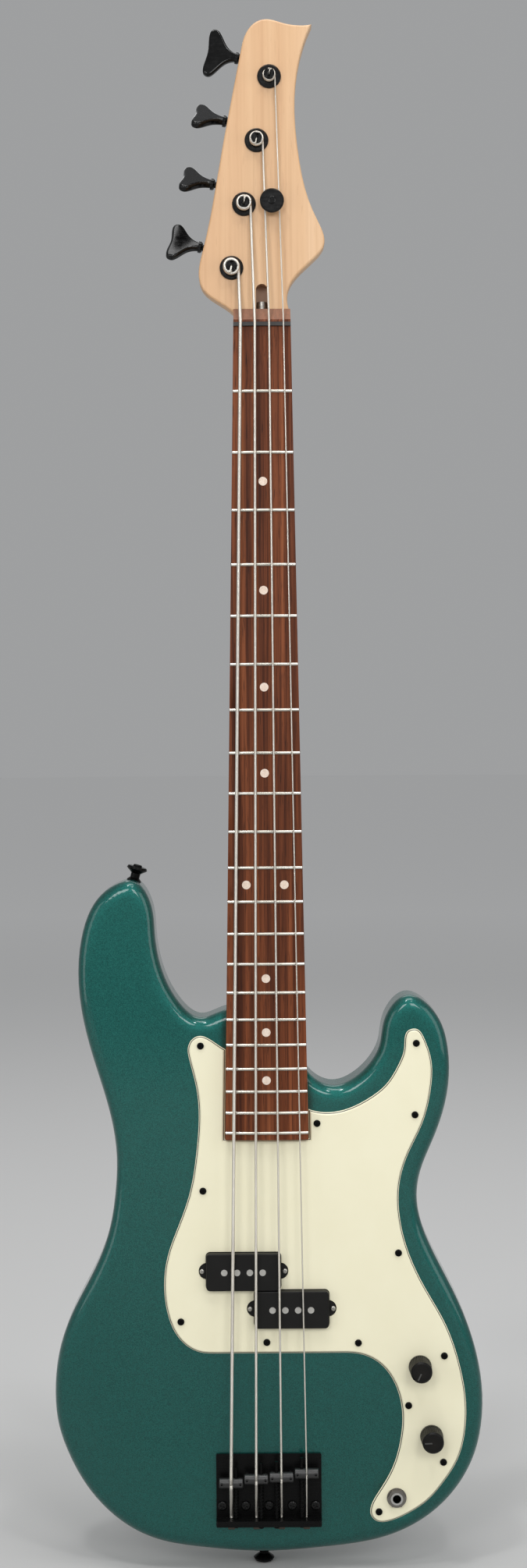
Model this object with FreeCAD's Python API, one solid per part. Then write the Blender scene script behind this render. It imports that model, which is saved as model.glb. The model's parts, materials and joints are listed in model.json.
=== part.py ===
import FreeCAD, Part
import math
import os

# A four-string electric bass guitar, upright, in millimetres.
# X runs to the treble side, Y from the front to the back, Z up along the neck.
# The drawing datum is the string line at the bridge (Z), the centre line (X)
# and the front face of the body (Y); the origin is moved to the hanging point
# under the headstock just before the pieces are written.

V = FreeCAD.Vector
NAMES = ("e", "a", "d", "g")

# Scale and strings, from the low string to the high one
SCALE = 863.6
STRING_R = (1.33, 1.08, 0.83, 0.57)
BRIDGE_PITCH = 19.05
NUT_PITCH = 10.7
FRET_COUNT = 21
ACTION = 2.2
NUT_LIFT = 0.5

# Body
BODY_T = 44.5
BODY_EDGE_R = 8.5
FOREARM_R = 200.0
BELLY_R = 300.0
BELLY_DEPTH = 17.0

# Neck and fingerboard
NUT_W = 43.0
HEEL_W = 63.0
BOARD_T = 7.0
BOARD_RISE = 9.5
BOARD_R = 254.0
BOARD_PAST_FRET = 5.2
STRIP_L = 11.1
STRIP_FLAT = 0.8
STRIP_EDGE_T = 1.2
NECK_DEPTH_NUT = 14.0
NECK_DEPTH_HEEL = 17.0
POCKET_DEPTH = 16.0
HEEL_TOP = 350.0
HEEL_BLEND = 36.0
HEAD_BLEND = 30.0
NECK_ROUND = 2.3
NECK_SQUARE = 8.0
BLEND_STEPS = 4
SECTION_STEPS = 14
HEAD_T = 14.0
HANG_LIFT = 2.0
FRET_W = 2.4
FRET_H = 1.15
TANG_W = 0.6
TANG_D = 1.8
FRET_INSET = 0.4
NUT_T = 2.8
NUT_SEAT = 2.6
NUT_RISE = 2.4
DOT_R = 3.25
DOT_D = 1.8
SIDE_DOT_R = 1.1
SIDE_DOT_STEP = 4.3
SINGLE_DOTS = (3, 5, 7, 9, 15, 17, 19)
DOUBLE_DOT = 12
DOUBLE_DOT_X = 14.3
ROD_R = 2.5
ROD_INSET = 10.0
ROD_GRIP = 10.0
ROD_DEPTH = 5.8
ROD_NUT_WALL = 1.4
ROD_NUT_L = 18.0
ROD_NUT_PROUD = 6.0
ROD_SOCKET_AF = 4.8
ROD_SOCKET_D = 5.0
SLOT_GAP = 0.5
SLOT_L = 18.9

# Pickguard
GUARD_T = 2.4
GUARD_BEVEL = 1.9
GUARD_GAP = 0.5
GUARD_SCREW_HEAD_R = 2.65
GUARD_SCREW_HEAD_T = 1.4
GUARD_SCREW_R = 1.3
GUARD_SCREW_L = 12.0

# Pickups, each half of the split pair
PICKUP_W = 56.5
PICKUP_H = 28.4
PICKUP_MID_Z = 136.1
PICKUP_GAP = 0.4
PICKUP_SHIFTS = (-18.3, 18.1)
PICKUP_NAMES = ("upper", "lower")
PICKUP_RISE = 8.0
PICKUP_SINK = 8.0
COVER_WALL = 1.5
COVER_CORNER_R = 3.0
COVER_TOP_R = 1.0
EAR_REACH = 3.15
EAR_SINK = 0.5
EAR_R = 5.8
EAR_T = 2.0
EAR_PROUD = 0.4
POLE_R = 2.45
POLE_PITCH = 9.7
POLE_PROUD = 0.4
ROUT_DEPTH = 16.0
ROUT_GAP = 1.5
PICKUP_SCREW_R = 1.3
PICKUP_SCREW_HEAD_R = 1.9
PICKUP_SCREW_HEAD_T = 1.6
PICKUP_SCREW_GRIP = 8.0
PICKUP_SCREW_ROOM = 3.0
FLATWORK_T = 1.5
FLATWORK_GAP = 0.5
FLATWORK_INSET = 1.0
COIL_MARGIN = 4.25
COIL_H = 13.0
FOAM_MARGIN = 4.7
FOAM_CORNER_R = 2.0

# Controls
KNOB_PLACES = ((115.4, 76.8), (123.9, 23.4))
KNOB_NAMES = ("volume", "tone")
KNOB_POINTERS = (205.0, 268.0)
KNOB_R = 8.7
KNOB_TAPER = 0.6
KNOB_WALL = 1.4
KNOB_H = 17.0
KNOB_GAP = 1.0
KNOB_RIM = 2.0
KNOB_EDGE = 1.2
KNOB_HEAD_ROOM = 2.9
KNOB_CROWN = 3.0
KNOB_FLUTES = 36
KNOB_FLUTE_R = 0.45
POINTER_W = 1.2
POINTER_D = 0.5
POT_R = 11.8
POT_T = 9.0
POT_FLOOR = 2.0
POT_BUSH_WALL = 1.7
POT_HEX_WALL = 0.6
POT_WASHER_WALL = 1.6
LUG_REACH = 1.2
LUG_W = 6.0
LUG_T = 1.0
LUG_DEPTH = 3.0
SHAFT_R = 3.0
JACK_PLACE = (97.2, -23.9)
JACK_BORE_R = 3.25
JACK_WALL = 1.5
JACK_FLANGE_WALL = 3.25
JACK_FLANGE_T = 4.0
JACK_WASHER_WALL = 2.75
JACK_HEX_WALL = 1.55
JACK_BLOCK_L = 5.0
BLADE_GAP = 1.35
BLADE_PITCH = 1.6
BLADE_T = 0.7
BLADE_W = 5.0
BLADE_L = 19.0
BLADE_STEP = 6.0
BLOCK_RIM = 0.5
BUSH_RISE = 3.6
WASHER_T = 0.8
HEX_T = 2.2
CAPACITOR_R = 3.0
CAPACITOR_L = 12.0
CAVITY_DEPTH = 34.0
CAVITY_GAP = 1.7
CAVITY_NECK_R = 9.0
WIRE_DUCT_R = 4.0
WIRE_R = 0.8
WIRE_PITCH = 2.4
WIRE_BEND_R = 10.0

# Bridge
PLATE_RIM = 1.9
PLATE_TOP_Z = 10.2
WALL_Z = -37.0
PLATE_T = 2.0
WALL_T = 4.5
WALL_PAST = 3.8
PLATE_CORNER_R = 1.2
WALL_CORNER_R = 2.4
SADDLE_Z = (-9.4, -6.0, -4.6, -2.3)
SADDLE_R = 4.0
SADDLE_GAP = 0.85
SADDLE_CHAMFER = 0.5
SADDLE_NOTCH = 0.8
HEIGHT_SCREW_R = 1.5
HEIGHT_SCREW_EDGE = 0.6
HEIGHT_SCREW_PROUD = 0.4
HEIGHT_SOCKET_AF = 1.5
HEIGHT_SOCKET_D = 2.0
LENGTH_SCREW_R = 1.3
LENGTH_SCREW_EDGE = 0.5
LENGTH_SCREW_PAST = 8.0
LENGTH_HEAD_R = 2.25
LENGTH_HEAD_T = 2.0
SPRING_GAP = 0.2
SPRING_WIRE_R = 0.25
SPRING_TURNS = 10
STRING_HOLE_R = 2.05
STRING_HOLE_RISE = 5.0
STRING_MOUTH = 1.2
BALL_R = 2.5
BALL_L = 5.0
BRIDGE_SCREW_INSET = 7.7
BRIDGE_SCREW_EDGE = 1.0
BRIDGE_SCREW_R = 1.9
BRIDGE_SCREW_HEAD_R = 3.6
BRIDGE_SCREW_HEAD_T = 2.0
BRIDGE_SCREW_L = 20.0

# Tuners in line up the bass edge of the headstock; the first is the low string's (x, z from its foot)
TUNER_FIRST = (-22.6, 30.9)
TUNER_GAP = 7.5
TUNER_TILT = 11.5
KEY_TURNS = (35.0, 52.0, 52.0, 4.0)
BASE_T = 2.0
BASE_SIDES = (-11.0, 18.0)
BASE_PAST_GEAR = 1.5
BASE_PAST_WORM = 7.0
BASE_CORNER_R = 3.0
POST_R = 4.0
POST_WAIST_R = 3.6
POST_CAP_R = 3.9
POST_CAP_T = 0.9
POST_CAP_EDGE = 0.4
POST_TAIL = 1.5
POST_CLEAR = 0.3
POST_SLOT_W = 2.8
POST_SLOT_D = 5.5
POST_COLLAR_R = 6.0
BUSHING_R = 5.0
BUSHING_FLANGE_R = 8.9
BUSHING_FLANGE_T = 2.0
BUSHING_L = 10.0
GEAR_TEETH = 20
GEAR_MODULE = 1.15
GEAR_T = 4.0
WORM_CLEAR = 1.5
GEAR_ADDENDUM = 1.0
GEAR_DEDENDUM = 1.35
PRESSURE_ANGLE = 20.0
WORM_R = 4.0
WORM_TURNS = 3
WORM_SHAFT_R = 2.5
WORM_SINK = 0.3
WORM_PLAY = 0.3
SHAFT_PAST = 1.5
TOOTH_BACKLASH = 0.45
BRACKET_T = 2.0
BRACKET_GAP = 1.2
BRACKET_HALF = 4.5
KEY_START = 26.0
KEY_COLLAR_R = 4.4
KEY_COLLAR_L = 3.0
KEY_COLLAR_EDGE = 1.0
KEY_T = 5.6
KEY_ROUND = 2.0
KEY_STEM_HALF = 3.0
KEY_WING = ((3.6, 5.0), (6.2, 9.5), (11.0, 13.6), (15.6, 17.0), (18.2, 20.6), (17.0, 24.4), (13.0, 25.6),
            (6.5, 25.0), (0.0, 24.4))
KEY_SPANS = 8
TUNER_SCREW_R = 1.4
TUNER_SCREW_HEAD_R = 2.6
TUNER_SCREW_HEAD_T = 1.6
TUNER_SCREW_L = 9.0
TUNER_SCREW_INSET = 3.4

# Strings at the headstock
COIL_HALF_TURNS = (3, 4, 5, 6)
COIL_GAP = 0.1
COIL_CLEAR = 0.3
LEVEL_RUN = 9.0
SADDLE_BEND_R = 8.0
STRING_BEND_R = 12.0
RETAINER_PLACE = (8.0, 79.4)
RETAINER_R = 9.0
RETAINER_T = 3.0
RETAINER_FLARE = 1.1
RETAINER_POST_R = 3.2
RETAINER_RISE = 5.5
RETAINER_SCREW_R = 1.4
RETAINER_SCREW_L = 9.0
RETAINER_SCREW_HEAD_R = 3.0
RETAINER_SCREW_HEAD_T = 1.2

# Fasteners of the neck and the strap
NECK_SCREW_PLACES = ((-19.0, 263.0), (19.0, 263.0), (-19.0, 313.0), (8.0, 295.0))
NECK_SCREW_R = 2.2
NECK_SCREW_HEAD_R = 4.2
NECK_SCREW_HEAD_T = 2.4
NECK_SCREW_PAST = 13.0
FERRULE_R = 7.0
FERRULE_T = 3.0
FERRULE_GAP = 0.3
STRAP_TOP = (-101.0, 445.4)
STRAP_TOP_LEAN = 15.0
STRAP_R = 8.0
STRAP_WAIST_R = 3.6
STRAP_FOOT_R = 5.5
STRAP_H = 12.0
STRAP_FOOT_T = 1.5
STRAP_RIM_T = 2.6
STRAP_SINK = 2.0
STRAP_SCREW_R = 1.8
STRAP_SCREW_L = 24.0
STRAP_SCREW_HEAD_R = 3.4
STRAP_SCREW_HEAD_T = 1.6

# Screw heads, as shares of the head's size, with the turn of the cross recess
HEAD_ROUND = 0.6
RECESS_REACH = 0.55
RECESS_HALF = 0.12
RECESS_DEPTH = 0.5
RECESS_TURN = 20.0

# Clearances
FIT = 0.05
RUN = 0.03
SET_OFF = 0.02
PAST = 1.0

# Levels in depth
GUARD_TOP = -GUARD_T
BOARD_TOP = -BOARD_RISE
FACE = BOARD_TOP + BOARD_T
HEAD_BACK = FACE + HEAD_T
BACK = BODY_T
MID = BODY_T / 2.0
PLATE_TOP = -PLATE_T

# Sizes that follow from others
ROD_NUT_R = ROD_R + ROD_NUT_WALL
SLOT_W = 2 * (ROD_NUT_R + SLOT_GAP)
EAR_OFFSET = PICKUP_W / 2 + EAR_REACH
EAR_CENTRE = PICKUP_W / 2 - EAR_SINK
EAR_TOP = GUARD_TOP - EAR_PROUD
PICKUP_SCREW_END = ROUT_DEPTH + PICKUP_SCREW_GRIP
COIL_W = PICKUP_W - 2 * COIL_MARGIN
FOAM_W = PICKUP_W - 2 * FOAM_MARGIN
FOAM_H = PICKUP_H - 2 * FOAM_MARGIN
KNOB_TOP_R = KNOB_R - KNOB_TAPER
KNOB_SKIRT_R = KNOB_R - KNOB_WALL
KNOB_SKIRT_D = BUSH_RISE + KNOB_HEAD_ROOM - KNOB_GAP
POT_BUSH_R = SHAFT_R + POT_BUSH_WALL
POT_HEX_AF = 2 * (POT_BUSH_R + POT_HEX_WALL)
POT_WASHER_R = POT_BUSH_R + POT_WASHER_WALL
JACK_BUSH_R = JACK_BORE_R + JACK_WALL
JACK_FLANGE_R = JACK_BUSH_R + JACK_FLANGE_WALL
JACK_WASHER_R = JACK_BUSH_R + JACK_WASHER_WALL
JACK_HEX_AF = 2 * (JACK_BUSH_R + JACK_HEX_WALL)
CAVITY_R = POT_R + CAVITY_GAP
PLATE_W = 4 * BRIDGE_PITCH + 2 * PLATE_RIM
SADDLE_W = BRIDGE_PITCH - SADDLE_GAP
HEIGHT_SCREW_X = SADDLE_W / 2 - HEIGHT_SCREW_R - HEIGHT_SCREW_EDGE
LENGTH_SCREW_X = HEIGHT_SCREW_X - HEIGHT_SCREW_R - LENGTH_SCREW_R - LENGTH_SCREW_EDGE
SPRING_R = LENGTH_SCREW_R + SPRING_GAP + SPRING_WIRE_R
BRIDGE_SCREW_Z = WALL_Z + BRIDGE_SCREW_INSET
BRIDGE_SCREW_PITCH = (PLATE_W / 2 - BRIDGE_SCREW_HEAD_R - BRIDGE_SCREW_EDGE) / 2

# Places that follow from others
GEAR_R = GEAR_TEETH * GEAR_MODULE / 2.0
WORM_OFFSET = GEAR_R + WORM_R
WORM_LEAD = math.pi * GEAR_MODULE
BRACKET_N = WORM_LEAD * WORM_TURNS / 2 + BRACKET_GAP
BASE_SPAN = (-GEAR_R - GEAR_ADDENDUM - BASE_PAST_GEAR, WORM_OFFSET + BRACKET_HALF + BASE_PAST_WORM)
TUNER_PITCH = BASE_SPAN[1] - BASE_SPAN[0] + TUNER_GAP
BASE_BACK = HEAD_BACK + BASE_T
GEAR_MID = BASE_BACK + WORM_R + GEAR_ADDENDUM + WORM_CLEAR
COIL_RISE = [r + FIT for r in STRING_R]
COIL_LEVEL = [BUSHING_FLANGE_T + COIL_CLEAR + r + n * rise
              for r, n, rise in zip(STRING_R, COIL_HALF_TURNS, COIL_RISE)]
POST_RISE = max(level + r for level, r in zip(COIL_LEVEL, STRING_R)) + POST_CLEAR + POST_CAP_T
PICKUP_STEP = (PICKUP_H + PICKUP_GAP) / 2
PICKUP_LEVELS = (PICKUP_MID_Z + PICKUP_STEP, PICKUP_MID_Z - PICKUP_STEP)
PICKUP_CENTRES = tuple(zip(PICKUP_SHIFTS, PICKUP_LEVELS))
NUT_BACK = SCALE + NUT_T
STRIP_END = NUT_BACK + STRIP_L
WALL_BACK = WALL_Z - WALL_T
HANG_POINT = V(0.0, FACE + HEAD_T / 2.0, STRIP_END + HANG_LIFT)

# Body outline, a closed smooth curve through these places (x, z)
BODY_POINTS = (
    (-106, 447.2), (-131, 429), (-140, 404.8), (-142.8, 380), (-140, 345), (-131, 309),
    (-120.3, 273), (-114.6, 236), (-115.6, 211), (-121.5, 177), (-133.5, 147), (-149, 117),
    (-159.8, 87), (-164, 50), (-161.5, 26), (-154.5, 6), (-142, -16.5), (-120, -40),
    (-92, -56), (-50, -64.5), (-4, -67.7), (42, -64.8), (92, -56), (121.5, -41),
    (145, -17.4), (157.6, 6.8), (163, 31), (163.7, 55), (157.5, 91), (143.8, 127.5),
    (125.7, 163.7), (116.5, 188), (114.2, 206), (117, 224), (126.5, 247.7), (135, 271.6),
    (139.3, 300), (137.6, 323), (130.3, 343), (107.5, 358.8), (89.6, 339), (86, 320),
    (79.2, 307.5), (67.2, 296), (50.5, 290), (34.5, 297.5), (20, 321), (-8, 345),
    (-31, 348.5), (-50, 342.5), (-67.5, 356), (-76, 371), (-81.5, 388), (-84.2, 406),
    (-87, 429),
)
BODY_SPANS = 8
FOREARM_LINE = ((-110, 185), (-70, -62))
BELLY_CENTRE = (-172.0, 250.0)

# Headstock outline: bass edge with the top edge, then the treble edge (x, z from its foot)
HEAD_BASS = (
    (-25.5, 0.7), (-45.0, 16.1), (-47.3, 26.5), (-44.0, 44.6), (-30.3, 113.5), (-14.9, 192.3),
    (-11.1, 205.5), (-1.9, 215.2), (5.7, 216.5), (16.8, 213.7), (27.0, 211.9), (38.4, 212.5),
)
HEAD_TREBLE = (
    (38.4, 212.5), (29.0, 185.3), (25.4, 152.5), (28.6, 112.5), (40.5, 70.0), (46.9, 47.5),
    (39.3, 37.5), (24.6, 23.0),
)
HEAD_FOOT = 3.0
HEAD_EDGE_R = 1.5

# Pickguard outline from the bass lobe round the controls and the treble horn to the cutaway (x, z);
# it starts and stops beside the neck, at these heights above the fingerboard's end
GUARD_LOBE = 67.6
GUARD_CUT = 21.8
GUARD_POINTS = (
    (-38.0, 323.7), (-44.4, 327.8), (-49.9, 329.5), (-56.1, 327.0), (-59.4, 320.5), (-58.6, 312.2),
    (-55.6, 300.5), (-52.6, 286.0), (-51.5, 266.0), (-53.6, 240.0), (-58.6, 210.5), (-68.1, 183.2),
    (-75.3, 163.5), (-78.6, 143.0),
    (-76.5, 119.0), (-67.5, 98.6), (-52.0, 88.0), (-40.0, 87.0), (-20.0, 87.0), (7.0, 87.0),
    (34.0, 87.0), (54.0, 87.0), (66.0, 86.6), (81.6, 81.1), (92.6, 70.0), (99.2, 55.6),
    (101.9, 40.0), (100.4, 20.0), (93.6, -2.8), (83.5, -20.1), (78.2, -29.6), (77.4, -37.0),
    (82.0, -42.4), (90.0, -42.8), (105.2, -37.0), (120.4, -27.0), (133.2, -12.4), (143.2, 3.4),
    (149.2, 24.0), (150.4, 48.0), (146.0, 76.0), (134.8, 109.0), (118.7, 138.0), (107.0, 164.0),
    (100.3, 193.0), (100.6, 217.0), (107.2, 239.0), (117.6, 261.0), (124.4, 287.0), (125.2, 309.0),
    (120.5, 325.1), (113.4, 334.0), (107.6, 332.6), (104.6, 320.0), (99.6, 305.6), (91.4, 292.6),
    (77.0, 281.0), (60.0, 273.0), (46.0, 270.8),
)
GUARD_SPANS = 8
GUARD_SCREWS = (
    (-49.9, 322.2), (-48.7, 211.7), (-66.1, 111.9), (-0.9, 95.8), (68.6, 95.0), (38.1, 262.8),
    (113.6, 323.3), (112.4, 268.9), (99.4, 163.6), (133.9, 84.7), (106.6, 46.8), (132.9, 3.2),
    (83.7, -34.6),
)


def box(x0, x1, y0, y1, z0, z1):
    """A box between two corners."""
    return Part.makeBox(x1 - x0, y1 - y0, z1 - z0, V(x0, y0, z0))


def rod(place, direction, radius, length):
    """A round bar from a place along a direction."""
    return Part.makeCylinder(radius, length, place, direction)


def peg(x, z, radius, y0, y1):
    """A round bar along the depth at one place of the front."""
    return Part.makeCylinder(radius, y1 - y0, V(x, y0, z), V(0, 1, 0))


def flat(points, y=0.0, rise=0.0):
    """Places of the front (x, z) as vectors at one depth."""
    return [V(x, y, z + rise) for x, z in points]


def curve(points, periodic=False):
    """A smooth curve through the places."""
    line = Part.BSplineCurve()
    line.interpolate(Points=points, PeriodicFlag=periodic)
    return line


def spans(line, count):
    """A curve as a chain of shorter edges."""
    first = line.FirstParameter
    step = (line.LastParameter - first) / count
    return [line.toShape(first + step * i, first + step * (i + 1)) for i in range(count)]


def prism(edges, y0, y1):
    """A plate with the given edges, between two depths."""
    face = Part.Face(Part.Wire(edges))
    face.translate(V(0, y0, 0))
    return face.extrude(V(0, y1 - y0, 0))


def polygon(points, y0, y1):
    """A straight-sided plate between two depths."""
    corners = flat(points, y0)
    face = Part.Face(Part.makePolygon(corners + corners[:1]))
    return face.extrude(V(0, y1 - y0, 0))


def along_axis(edges, axis):
    """The straight edges that run along an axis."""
    return [e for e in edges if abs(e.tangentAt(e.FirstParameter).dot(axis)) > 0.9]


def rounded_box(w, h, corner, y0, y1, x, z):
    """A plate with rounded corners, centred at a place of the front."""
    solid = box(x - w / 2, x + w / 2, y0, y1, z - h / 2, z + h / 2)
    return solid.makeFillet(corner, along_axis(solid.Edges, V(0, 1, 0)))


def slot_block(p, q, radius, y0, y1):
    """A plate with round ends from one place of the front to another."""
    along = V(q[0] - p[0], 0, q[1] - p[1])
    side = V(along.z, 0, -along.x).normalize() * radius
    start = V(p[0], y0, p[1])
    end = V(q[0], y0, q[1])
    corners = [start + side, end + side, end - side, start - side, start + side]
    bar = Part.Face(Part.makePolygon(corners)).extrude(V(0, y1 - y0, 0))
    return bar.multiFuse([peg(p[0], p[1], radius, y0, y1), peg(q[0], q[1], radius, y0, y1)]).removeSplitter()


def turned(points, place, direction):
    """A turned piece: profile (radius, height), spun about an axis through a place."""
    corners = [V(r, 0, h) for r, h in points]
    face = Part.Face(Part.makePolygon(corners + corners[:1]))
    solid = face.revolve(V(0, 0, 0), V(0, 0, 1), 360)
    solid.Placement = FreeCAD.Placement(place, FreeCAD.Rotation(V(0, 0, 1), direction))
    return solid


def hexagon(place, direction, across, height):
    """A six-sided bar from a place along a direction."""
    corner = V(across / math.sqrt(3), 0, 0)
    ring = [FreeCAD.Rotation(V(0, 0, 1), 60 * k).multVec(corner) for k in range(6)]
    solid = Part.Face(Part.makePolygon(ring + ring[:1])).extrude(V(0, 0, height))
    solid.Placement = FreeCAD.Placement(place, FreeCAD.Rotation(V(0, 0, 1), direction))
    return solid


def hex_nut(place, direction, across, height, bore):
    """A six-sided nut with a plain bore."""
    return hexagon(place, direction, across, height).cut(rod(place, direction, bore, height))


def washer(place, direction, outer, bore, height):
    """A flat washer."""
    return rod(place, direction, outer, height).cut(rod(place, direction, bore, height))


def screw(place, inward, shank, length, head, head_height):
    """A round-headed screw with a cross recess; the head's underside is at the place."""
    shank_bar = rod(place, inward, shank, length)
    crown = rod(place - inward * head_height, inward, head, head_height)
    outer = [e for e in crown.Edges if e.Curve.TypeId == "Part::GeomCircle"]
    top = min(outer, key=lambda e: e.CenterOfMass.dot(inward))
    crown = crown.makeFillet(min(head, head_height) * HEAD_ROUND, [top])
    solid = crown.fuse(shank_bar).removeSplitter()
    turn = FreeCAD.Rotation(V(0, 0, 1), inward)
    reach = head * RECESS_REACH
    half = head * RECESS_HALF
    corner = V(-reach, -half, -head_height * (2 - RECESS_DEPTH))
    for angle in (RECESS_TURN, RECESS_TURN + 90):
        bar = Part.makeBox(2 * reach, 2 * half, head_height, corner)
        bar.rotate(V(0, 0, 0), V(0, 0, 1), angle)
        bar.Placement = FreeCAD.Placement(place, turn).multiply(bar.Placement)
        solid = solid.cut(bar)
    return solid


def routed(points, bends):
    """A path of straight runs joined by tangent arcs, one bend radius for each inner place."""
    edges = []
    last = points[0]
    for before, here, after, bend in zip(points, points[1:], points[2:], bends):
        back = (before - here).normalize()
        ahead = (after - here).normalize()
        turn = math.pi - back.getAngle(ahead)
        reach = bend * math.tan(turn / 2)
        enter = here + back * reach
        leave = here + ahead * reach
        half = (back + ahead).normalize()
        middle = here + half * (bend / math.cos(turn / 2) - bend)
        edges.append(Part.LineSegment(last, enter).toShape())
        edges.append(Part.Arc(enter, middle, leave).toShape())
        last = leave
    edges.append(Part.LineSegment(last, points[-1]).toShape())
    return edges


def tube(edges, radius):
    """A round wire along connected edges."""
    path = Part.Wire(edges)
    start = edges[0].valueAt(edges[0].FirstParameter)
    heading = edges[0].tangentAt(edges[0].FirstParameter)
    ring = Part.Wire([Part.Circle(start, heading, radius).toShape()])
    return path.makePipeShell([ring], True, True)


def coil(centre, axis, start, radius, rise, half_turns):
    """Half turns about an axis, each a tilted half circle that starts level."""
    edges = []
    out = start
    for i in range(half_turns):
        middle = centre + axis * (rise * (i + 0.5))
        side = out.cross(axis)
        reach = math.hypot(radius, rise / 2)
        first = centre + axis * (rise * i) + out * radius
        last = centre + axis * (rise * (i + 1)) - out * radius
        edges.append(Part.Arc(first, middle + side * reach, last).toShape())
        out = out * -1
    return edges


def joined(solids):
    """Separate solids of one node."""
    return Part.makeCompound(solids)


def half_width(z):
    """Half the fingerboard's width at a height."""
    return NUT_W / 2 + (SCALE - z) * (HEEL_W - NUT_W) / 2 / (SCALE - BOARD_END)


def fret_z(n):
    """Height of a fret above the string line at the bridge."""
    return SCALE * 2 ** (-n / 12)


BOARD_END = fret_z(FRET_COUNT) - BOARD_PAST_FRET


def string_x(i, pitch):
    """Sideways place of a string for a spacing."""
    return (i - 1.5) * pitch


def camber(x):
    """How far the fingerboard's round top has dropped at a sideways place."""
    return BOARD_R - math.sqrt(BOARD_R ** 2 - x ** 2)


def nut_point(i):
    """Centre of a string where it leaves the nut towards the tuners."""
    x = string_x(i, NUT_PITCH)
    return V(x, BOARD_TOP + camber(x) - FRET_H - NUT_LIFT - STRING_R[i], NUT_BACK - SET_OFF)


def saddle_point(i):
    """Centre of a string over its saddle; the action is met at the middle of the scale."""
    x = string_x(i, BRIDGE_PITCH)
    under = 2 * (FRET_H + ACTION) - (FRET_H + NUT_LIFT)
    return V(x, BOARD_TOP + camber(x) - under - STRING_R[i], SADDLE_Z[i])


def saddle_axis_y(i):
    """Depth of a saddle barrel's axis."""
    return saddle_point(i).y + STRING_R[i] + SADDLE_R - SADDLE_NOTCH


def length_screw_x(i):
    """Sideways place of a saddle's length screw, towards the centre line."""
    x = string_x(i, BRIDGE_PITCH)
    return x - math.copysign(LENGTH_SCREW_X, x)


def tuner_frame(i):
    """Post centre (x, z) of a tuner with the directions up the row and out past the edge."""
    tilt = math.radians(TUNER_TILT)
    up = V(math.sin(tilt), 0, math.cos(tilt))
    out = V(-math.cos(tilt), 0, math.sin(tilt))
    place = V(TUNER_FIRST[0], 0, STRIP_END + TUNER_FIRST[1]) + up * (TUNER_PITCH * i)
    return place, up, out


def at_tuner(i, n, t, y):
    """A place given outward (n), up the row (t) and in depth from a tuner's post."""
    place, up, out = tuner_frame(i)
    return place + out * n + up * t + V(0, y, 0)


def tuner_box(i, n0, n1, t0, t1, y0, y1):
    """A box squared to a tuner."""
    corners = [at_tuner(i, n, t, y0) for n, t in ((n0, t0), (n1, t0), (n1, t1), (n0, t1), (n0, t0))]
    return Part.Face(Part.makePolygon(corners)).extrude(V(0, y1 - y0, 0))


# Strings: from the bridge wall over the saddle and the nut to a few turns round the post

def string_edges(i):
    """Path of a string's centre."""
    post, up, out = tuner_frame(i)
    level = FACE - COIL_LEVEL[i] + COIL_HALF_TURNS[i] * COIL_RISE[i]
    radius = POST_WAIST_R + COIL_GAP + STRING_R[i]
    saddle = saddle_point(i)
    nut = nut_point(i)
    hole = V(saddle.x, -STRING_HOLE_RISE, WALL_BACK + SET_OFF)
    mouth = V(saddle.x, -STRING_HOLE_RISE, WALL_Z + STRING_MOUTH)
    centre = V(post.x, level, post.z)
    corners = [hole, mouth, saddle, nut]
    bends = [SADDLE_BEND_R, SADDLE_BEND_R, STRING_BEND_R]
    start = nut
    if i >= 2:
        start = V(0, FACE - RETAINER_RISE + STRING_R[i] + FIT, STRIP_END + RETAINER_PLACE[1])
        straight = tangent_place(nut, centre, radius)
        share = (start.z - nut.z) / (straight.z - nut.z)
        start.x = nut.x + (straight.x - nut.x) * share
        corners.append(start)
        bends.append(STRING_BEND_R)
    touch = tangent_place(start, centre, radius)
    run = (V(touch.x, 0, touch.z) - V(start.x, 0, start.z)).normalize()
    corners.append(touch - run * LEVEL_RUN)
    bends.append(STRING_BEND_R)
    corners.append(touch)
    outward = (touch - centre).normalize()
    turns = coil(centre, V(0, 1, 0), outward, radius, -COIL_RISE[i], COIL_HALF_TURNS[i])
    return routed(corners, bends) + turns


def tangent_place(start, centre, radius):
    """Where a line from a place touches a circle on the treble side."""
    away = V(start.x - centre.x, 0, start.z - centre.z)
    angle = math.acos(radius / away.Length)
    turn = FreeCAD.Rotation(V(0, 1, 0), -math.degrees(angle))
    return centre + turn.multVec(away.normalize()) * radius


def strings():
    """Four strings."""
    return {"string_" + NAMES[i]: tube(string_edges(i), STRING_R[i]) for i in range(4)}


def ball_ends():
    """The barrels that stop the strings behind the bridge wall."""
    place_z = WALL_BACK - BALL_R - SET_OFF
    barrels = []
    for i in range(4):
        x = string_x(i, BRIDGE_PITCH)
        barrels.append(rod(V(x - BALL_L / 2, -STRING_HOLE_RISE, place_z), V(1, 0, 0), BALL_R, BALL_L))
    return joined(barrels)


# Fingerboard, frets, dots and nut

def fret_solid(n):
    """One fret: a round crown on a tang, bent to the fingerboard's camber."""
    z = fret_z(n)
    half = FRET_W / 2
    tang = TANG_W / 2
    low = BOARD_TOP + TANG_D
    arc = Part.Arc(V(0, BOARD_TOP, z - half), V(0, BOARD_TOP - FRET_H, z), V(0, BOARD_TOP, z + half))
    corners = [(BOARD_TOP, half), (BOARD_TOP, tang), (low, tang)]
    corners += [(y, -dz) for y, dz in reversed(corners)]
    line = Part.makePolygon([V(0, y, z + dz) for y, dz in corners])
    face = Part.Face(Part.Wire([arc.toShape()] + line.Edges))
    reach = math.degrees(math.asin((half_width(z) - FRET_INSET) / BOARD_R))
    pivot = V(0, BOARD_TOP + BOARD_R, 0)
    face.rotate(pivot, V(0, 0, 1), -reach)
    return face.revolve(pivot, V(0, 0, 1), 2 * reach)


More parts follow.
